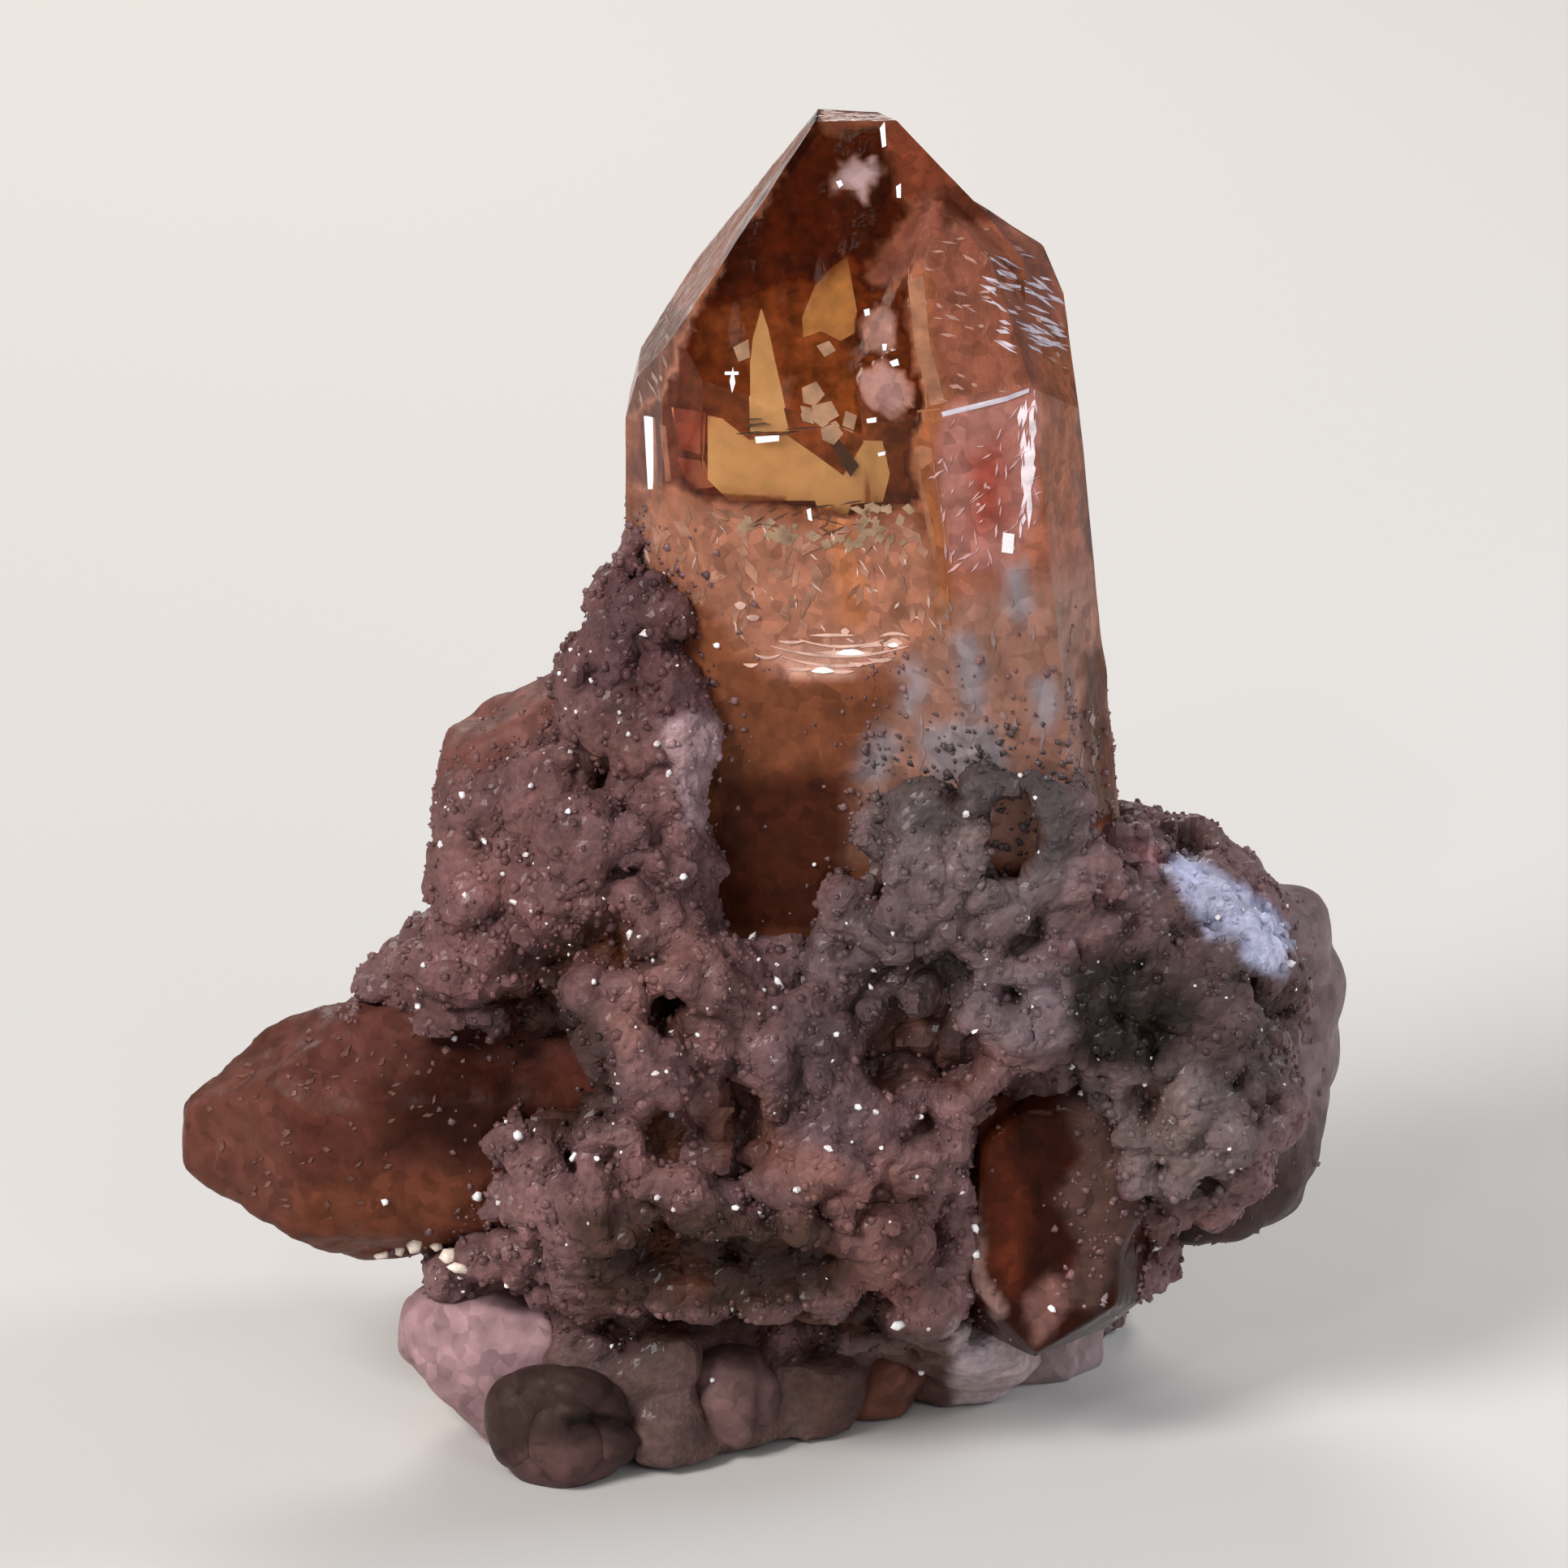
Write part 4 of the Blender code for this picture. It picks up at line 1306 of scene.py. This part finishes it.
LEFT_BUMP_ZONE = rows("236,1380 330,1290 480,1230 600,1240 620,1300 500,1400 440,1520 320,1500")
# Fine slivers on the crystal's skin: name, zone, number, length and width in pixels, slant in degrees, spread
# of the slant, and colour.
SLIVERS = (
    ("slivers_pale", SANDY_BAND, 30, (8, 26), (1.5, 4), 110, 50, (0.62, 0.42, 0.36)),
    ("slivers_tan", SANDY_BAND, 40, (12, 40), (6, 18), 100, 70, (0.36, 0.175, 0.115)),
    ("slivers_brown", SANDY_BAND, 30, (12, 40), (6, 16), 100, 70, (0.27, 0.125, 0.08)),
    ("slivers_mosaic", MOSAIC_ZONE, 40, (10, 26), (8, 16), 20, 80, (0.30, 0.19, 0.12)),
    ("slivers_pink", TWIN_MIDDLE, 60, (6, 26), (1.5, 4.5), 60, 60, (0.60, 0.34, 0.33)),
    # painted highlight along the twin's edge
    ("slivers_highlight", TWIN_HIGHLIGHT_STRIP, 26, (14, 60), (3, 9), 86, 8, (0.84, 0.72, 0.76)),
    ("slivers_red", TWIN_TOP, 40, (8, 26), (2, 6), -20, 30, (0.36, 0.18, 0.14)),
    ("slivers_cool", STRIATION_ZONE, 46, (14, 46), (2, 6), -22, 12, (0.50, 0.43, 0.48)),
    ("slivers_low", TWIN_LOW, 36, (10, 40), (4, 9), 88, 12, (0.27, 0.18, 0.165)),
    ("slivers_dark", CRACK_ZONE, 26, (8, 30), (1.5, 3), 10, 40, (0.10, 0.05, 0.03)),
    ("slivers_grid", GRID_ZONE, 8, (16, 44), (1.2, 2.2), 2, 6, (0.10, 0.05, 0.03)),
    ("slivers_crown", GREY_FACET, 20, (8, 26), (2, 5), 110, 14, (0.30, 0.20, 0.17)),
)
# The bumps of the left crystal's skin: number, length and width in pixels, slant in degrees and its spread.
LEFT_BUMPS = (70, (5, 16), (3, 8), 20, 60)
# How far below a face of the main crystal the windows of painted light, the bars of painted highlight, the
# panels, spots and lumps lie, in millimetres.
WINDOW_DEPTH = 0.5
BAR_DEPTH = 0.25
PANEL_DEPTH = 0.6
SPOT_DEPTH = 0.3
LUMP_DEPTH = 0.4


def on_surface(tree, px, py):
    """The point and normal at which a pixel's ray meets the tree's surface, or None."""
    point, normal, _, _ = tree.ray_cast(EYE, view_ray(px, py))
    return None if point is None else (point, normal)


def prism(solid, front, back):
    """Adds a thin closed prism between two rings of points."""
    rings = [[solid.verts.new(Vector(point) * MM) for point in ring] for ring in (front, back)]
    solid.faces.new(rings[0])
    solid.faces.new(rings[1][::-1])
    for number in range(len(front)):
        after = (number + 1) % len(front)
        solid.faces.new((rings[0][after], rings[0][number], rings[1][number], rings[1][after]))


def finish_flakes(name, solid, material):
    """Makes a piece of a solid that holds flakes."""
    bmesh.ops.recalc_face_normals(solid, faces=solid.faces)
    add_piece(name, mesh_from(solid, name), "clear_topaz", material)


def inner_flakes(name, flakes, material, thickness=0.08):
    """Thin flakes inside the crystal, each given by its outline as seen, the face above it and its depth."""
    solid = bmesh.new()
    for outline, plane, depth in flakes:
        front = [seen_inside(px, py, plane, depth) for px, py in outline]
        prism(solid, front, [point - plane[1] * thickness for point in front])
    finish_flakes(name, solid, material)


def outer_flakes(name, flakes, tree, material, proud=0.03, sunk=0.08):
    """Thin flakes on the crystal's skin, whose outlines are as seen."""
    solid = bmesh.new()
    for outline in flakes:
        found = [on_surface(tree, px, py) for px, py in outline]
        if None in found:
            continue
        prism(solid, [p + n * proud for p, n in found], [p - n * sunk for p, n in found])
    finish_flakes(name, solid, material)


def arc_outline(left, right, height, sag, width):
    """A smile-shaped band of pixels."""
    share = np.linspace(-1, 1, 15)
    across = (left + right) / 2 + share * (right - left) / 2
    low = height + sag * (1 - share**2)
    thin = width * (1 - share**2)
    return list(zip(across, low)) + list(zip(across, low - thin - 0.6))[::-1]


def slivers_in(rng, zone, count, lengths, widths, slant, spread):
    """Slender diamonds of pixels strewn over a zone at about one slant."""
    corners = np.array(zone, float)
    made = []
    while len(made) < count:
        middle = rng.uniform(corners.min(axis=0), corners.max(axis=0))
        if not pixel_inside(middle, zone):
            continue
        turn = math.radians(-slant + rng.normal(0, spread / 2))
        along = np.array([math.cos(turn), math.sin(turn)]) * rng.uniform(*lengths) / 2
        side = np.array([-math.sin(turn), math.cos(turn)]) * rng.uniform(*widths) / 2
        skew = along * rng.uniform(-0.4, 0.4)
        made.append([tuple(middle + step) for step in (-along, skew - side, along, side - skew)])
    return made


def build_inclusions(tree, left_tree):
    """What shows inside the main crystal and on its skin, and the bumps of the left one."""
    amber = inner_material("amber_light_window", (1.0, 0.56, 0.22), 0.1)
    white = inner_material("white_glint", (0.95, 0.92, 0.92), 0.05, 0.2)
    pink = inner_material("pink_arc", (0.70, 0.44, 0.36), 0.3, 0.3)
    red = inner_material("red_panel", (0.58, 0.18, 0.09), 0.15)
    pale = inner_material("pale_lumps", (0.80, 0.52, 0.34), 0.25)
    dark = inner_material("dark_inclusion", (0.10, 0.045, 0.02), 0.3)
    mauve = inner_material("striation", (0.56, 0.50, 0.56), 0.2)
    leaf = inner_material("light_window_leaf", (0.80, 0.36, 0.10), 0.2)
    seam = inner_material("seam_amber", (0.31, 0.125, 0.062), 0.35, 0.3)
    bump = inner_material("left_bumps", (0.15, 0.068, 0.052), 0.4, 0.35)
    windows = ((WIDE_LIGHT_WINDOW, MAIN_FRONT, WINDOW_DEPTH), (SPIRE_LIGHT_WINDOW, MAIN_FRONT_TOP, WINDOW_DEPTH))
    inner_flakes("windows", windows, amber)
    inner_flakes("light_window_leaf", ((LEAF_LIGHT_WINDOW, MAIN_FRONT_TOP, WINDOW_DEPTH),), leaf)
    inner_flakes("highlight_bars_left", [(bar, MAIN_BEVEL, BAR_DEPTH) for bar in (LEFT_HIGHLIGHT_BAR, LEFT_HIGHLIGHT_SLIVER)], white)
    inner_flakes("panel_left", [(panel, MAIN_FRONT, PANEL_DEPTH) for panel in (RED_PANEL, PINK_BAND)], red)
    outer_flakes("arcs", [arc_outline(*row) for row in ARCS], tree, pink)
    outer_flakes("glinting_arcs", [arc_outline(*row) for row in GLINTING_ARCS], tree, white, proud=0.045)
    inner_flakes("dark_inclusion", ((DARK_INCLUSION, MAIN_FRONT, SPOT_DEPTH),), dark)
    inner_flakes("pale_lumps", [(outline, MAIN_FRONT_TOP, LUMP_DEPTH) for outline in PALE_LUMPS], pale)
    outer_flakes("crystal_glints", [TOP_GLINT, *CROSS_GLINTS, TWIN_GLINT], tree, white)
    outer_flakes("dome_edge", [DOME_EDGE], tree, mauve)
    outer_flakes("seam", SEAM_STRIPS, tree, seam, proud=0.015)
    build_reflection_veil()
    bumps = slivers_in(np.random.default_rng(SEED + 4), LEFT_BUMP_ZONE, *LEFT_BUMPS)
    outer_flakes("left_bumps", bumps, left_tree, bump, proud=0.04)


def build_slivers(tree):
    """The striations and the sandy grain of the main crystal's skin."""
    rng = np.random.default_rng(SEED + 1)
    for name, zone, count, lengths, widths, slant, spread, colour in SLIVERS:
        slivers = slivers_in(rng, zone, count, lengths, widths, slant, spread)
        outer_flakes(name, slivers, tree, inner_material(name, colour, 0.35, 0.35), proud=0.02)


# Bright glints of the druse: the pixel at which each is seen and its size.
GLINTS = rows(
    "475,1480,0.35 588,1473,0.5 638,1400,0.45 708,1425,0.3 735,1428,0.3 570,980,0.35 700,1000,0.3 "
    "655,968,0.25 883,795,0.3 842,1080,0.35 596,1035,0.25 640,1060,0.2 732,1210,0.3 560,1280,0.3 "
    "960,1214,0.35 1057,1364,0.3 1132,1376,0.3 905,1488,0.3 1296,1612,0.3 1110,1632,0.45 1130,1450,0.2 "
    "1410,1335,0.25 1445,1380,0.25 1030,1275,0.25 522,1190,0.25 515,1240,0.3 690,830,0.2 730,840,0.25 "
    "775,905,0.25 1003,1065,0.2 1200,1510,0.35 1203,1545,0.4 878,1700,0.25 1135,1690,0.3 860,1275,0.2 "
    "820,1320,0.2")
# Cream glints along the left crystal's lower edge.
CREAM_GLINTS = rows(
    "492,1538,0.5 510,1532,0.8 512,1552,0.7 538,1534,0.6 556,1548,0.7 566,1562,0.5 470,1545,0.4")
# The width in millimetres of a glint of size 1.
GLINT_SIZE = 0.75
# The pieces that glints make: name, glints and colour.
GLINT_ROWS = (("glints", GLINTS, (0.95, 0.93, 0.95)), ("cream_glints", CREAM_GLINTS, (0.95, 0.80, 0.68)))


def build_glints(tree):
    """Single near-white grains where glints are seen: painted glints."""
    rng = np.random.default_rng(SEED + 2)
    shapes = spark_shapes(rng, 12)
    for name, glints, colour in GLINT_ROWS:
        found = [(on_surface(tree, px, py), size) for px, py, size in glints]
        found = [(hit, size) for hit, size in found if hit]
        places = np.array([tuple(hit[0]) for hit, _ in found])
        normals = np.array([tuple(hit[1]) for hit, _ in found])
        sizes = np.array([size for _, size in found]) * GLINT_SIZE
        mesh = grain_mesh(name, shapes, places, normals, sizes, np.tile(colour, (len(found), 1)), rng)
        add_piece(name, mesh, "crust", crust_material(name, smooth=0.05, rough=0.2, gloss=1.0))


# How far the dust strays from the crust, in millimetres.
DUST_REACH = 0.55
# The width in millimetres of the least grain of dust, and how much wider the widest is.
LEAST_DUST = 0.1
DUST_RANGE = 0.24
DUST_ZONE = rows("1060,800 1345,760 1370,1010 1060,1010 1030,900")
# The dust's pieces: the crystal that each lies on and the number of its grains.
DUST = {
    "dust_main": ("topaz_main", 4500),
    "dust_left": ("topaz_left", 900),
    "dust_lobe": ("topaz_rear_right", 1500),
    "dust_shoulder": ("topaz_shoulder", 900),
    "dust_lower_right": ("topaz_lower_right", 900),
}


def build_dust(crystals, crust_tree):
    """Grains that stray from the crust on to the crystals, fewer as they get further away."""
    rng = np.random.default_rng(SEED + 3)
    shapes = chip_shapes(rng, 12)
    material = crust_material("dust_grains", smooth=0.35, rough=0.7, gloss=0.3)
    grounds = {piece.name: piece.data for piece in crystals}

    def settling(middle, _):
        """How dense the dust is at a place."""
        reach = np.array([crust_tree.find_nearest(point)[3] for point in middle.tolist()])
        fore = middle[:, 1] < -1
        far_fore = middle[:, 1] < -2
        front = in_outline(middle, DUST_ZONE, 50) * fore * smoothstep(28.6, 23.0, middle[:, 2])
        right = in_outline(middle, LOWER_RIGHT_CRUST, 24) * far_fore
        bare = in_outline(middle, LOWER_RIGHT_FACE, 8) * far_fore + in_outline(middle, LOW_WINDOW, 12)
        return np.exp(-reach / DUST_REACH) * (1 - 0.85 * np.minimum(bare, 1)) + 0.45 * front + right

    for name, (ground, count) in DUST.items():
        places, normals = scattered(grounds[ground], count, rng, settling)
        sizes = LEAST_DUST + DUST_RANGE * rng.random(count) ** 2
        tones = crust_tone(places) * rng.uniform(0.9, 1.5, (count, 1))
        mesh = grain_mesh(name, shapes, places, normals, sizes, tones, rng, raise_by=-0.1)
        add_piece(name, mesh, "crust", material)


# ---------------------------------------------------------------- stage


def aim(thing, place):
    """Puts a lamp or the camera at a place and turns it to the specimen."""
    thing.location = Vector(place) * MM
    thing.rotation_mode = "QUATERNION"
    thing.rotation_quaternion = (VIEW_TARGET - Vector(place)).to_track_quat("-Z", "Y")


FLOOR_COLOUR = (0.62, 0.60, 0.58)
SKY_COLOUR = (0.14, 0.145, 0.155)


def build_floor():
    """A plain pale floor under the specimen."""
    plane = bmesh.new()
    bmesh.ops.create_grid(plane, x_segments=1, y_segments=1, size=3.0)
    mesh = bpy.data.meshes.new("floor")
    plane.to_mesh(mesh)
    plane.free()
    floor = in_scene("floor", mesh)
    made = Nodes("floor")
    made.shader(Base_Color=FLOOR_COLOUR, Roughness=0.9)
    mesh.materials.append(made.material)


# Lights: place, width and height, power in watts and colour.
LIGHTS = {
    "key": ((-180, -170, 230), (110, 110), 0.95, (1.0, 0.97, 0.94)),
    "fill": ((150, -260, 160), (200, 160), 0.22, (0.96, 0.97, 1.0)),
    "side": ((210, 40, 130), (60, 120), 0.30, (0.88, 0.93, 1.0)),
    "behind": ((-40, 240, 180), (160, 100), 0.45, (1.0, 0.95, 0.9)),
    "spark": ((-60, -230, 190), (14, 14), 0.05, (1.0, 1.0, 1.0)),
}


def build_lights():
    """Softboxes round the specimen and a dim even sky."""
    for name, (place, (width, height), power, colour) in LIGHTS.items():
        lamp = bpy.data.lights.new(name, "AREA")
        lamp.shape = "RECTANGLE"
        lamp.size = width * MM
        lamp.size_y = height * MM
        lamp.energy = power
        lamp.color = colour
        aim(in_scene(name, lamp), place)
    world = bpy.data.worlds.new("studio")
    world.use_nodes = True
    world.node_tree.nodes["Background"].inputs["Color"].default_value = (*SKY_COLOUR, 1)
    bpy.context.scene.world = world
    bpy.context.scene.view_settings.view_transform = "Standard"


def build_camera():
    """The camera, whose frame is VIEW_WIDTH millimetres wide where the specimen stands."""
    lens = bpy.data.cameras.new("camera")
    lens.sensor_width = SENSOR_WIDTH
    lens.lens = SENSOR_WIDTH * VIEW_DISTANCE / VIEW_WIDTH
    lens.clip_start = 0.005
    camera = in_scene("camera", lens)
    aim(camera, EYE)
    bpy.context.scene.camera = camera


build_camera()
build_lights()
build_floor()
crust_pieces = build_crust()
build_druse(crust_pieces)
crystal_pieces = build_crystals()
crust_tree = tree_of(*(piece.data for piece in crust_pieces))
main_tree, left_tree = (tree_of(piece.data) for piece in crystal_pieces[:2])
build_inclusions(main_tree, left_tree)
build_slivers(main_tree)
build_glints(tree_of(*(piece.data for piece in crust_pieces + crystal_pieces)))
build_dust(crystal_pieces, crust_tree)
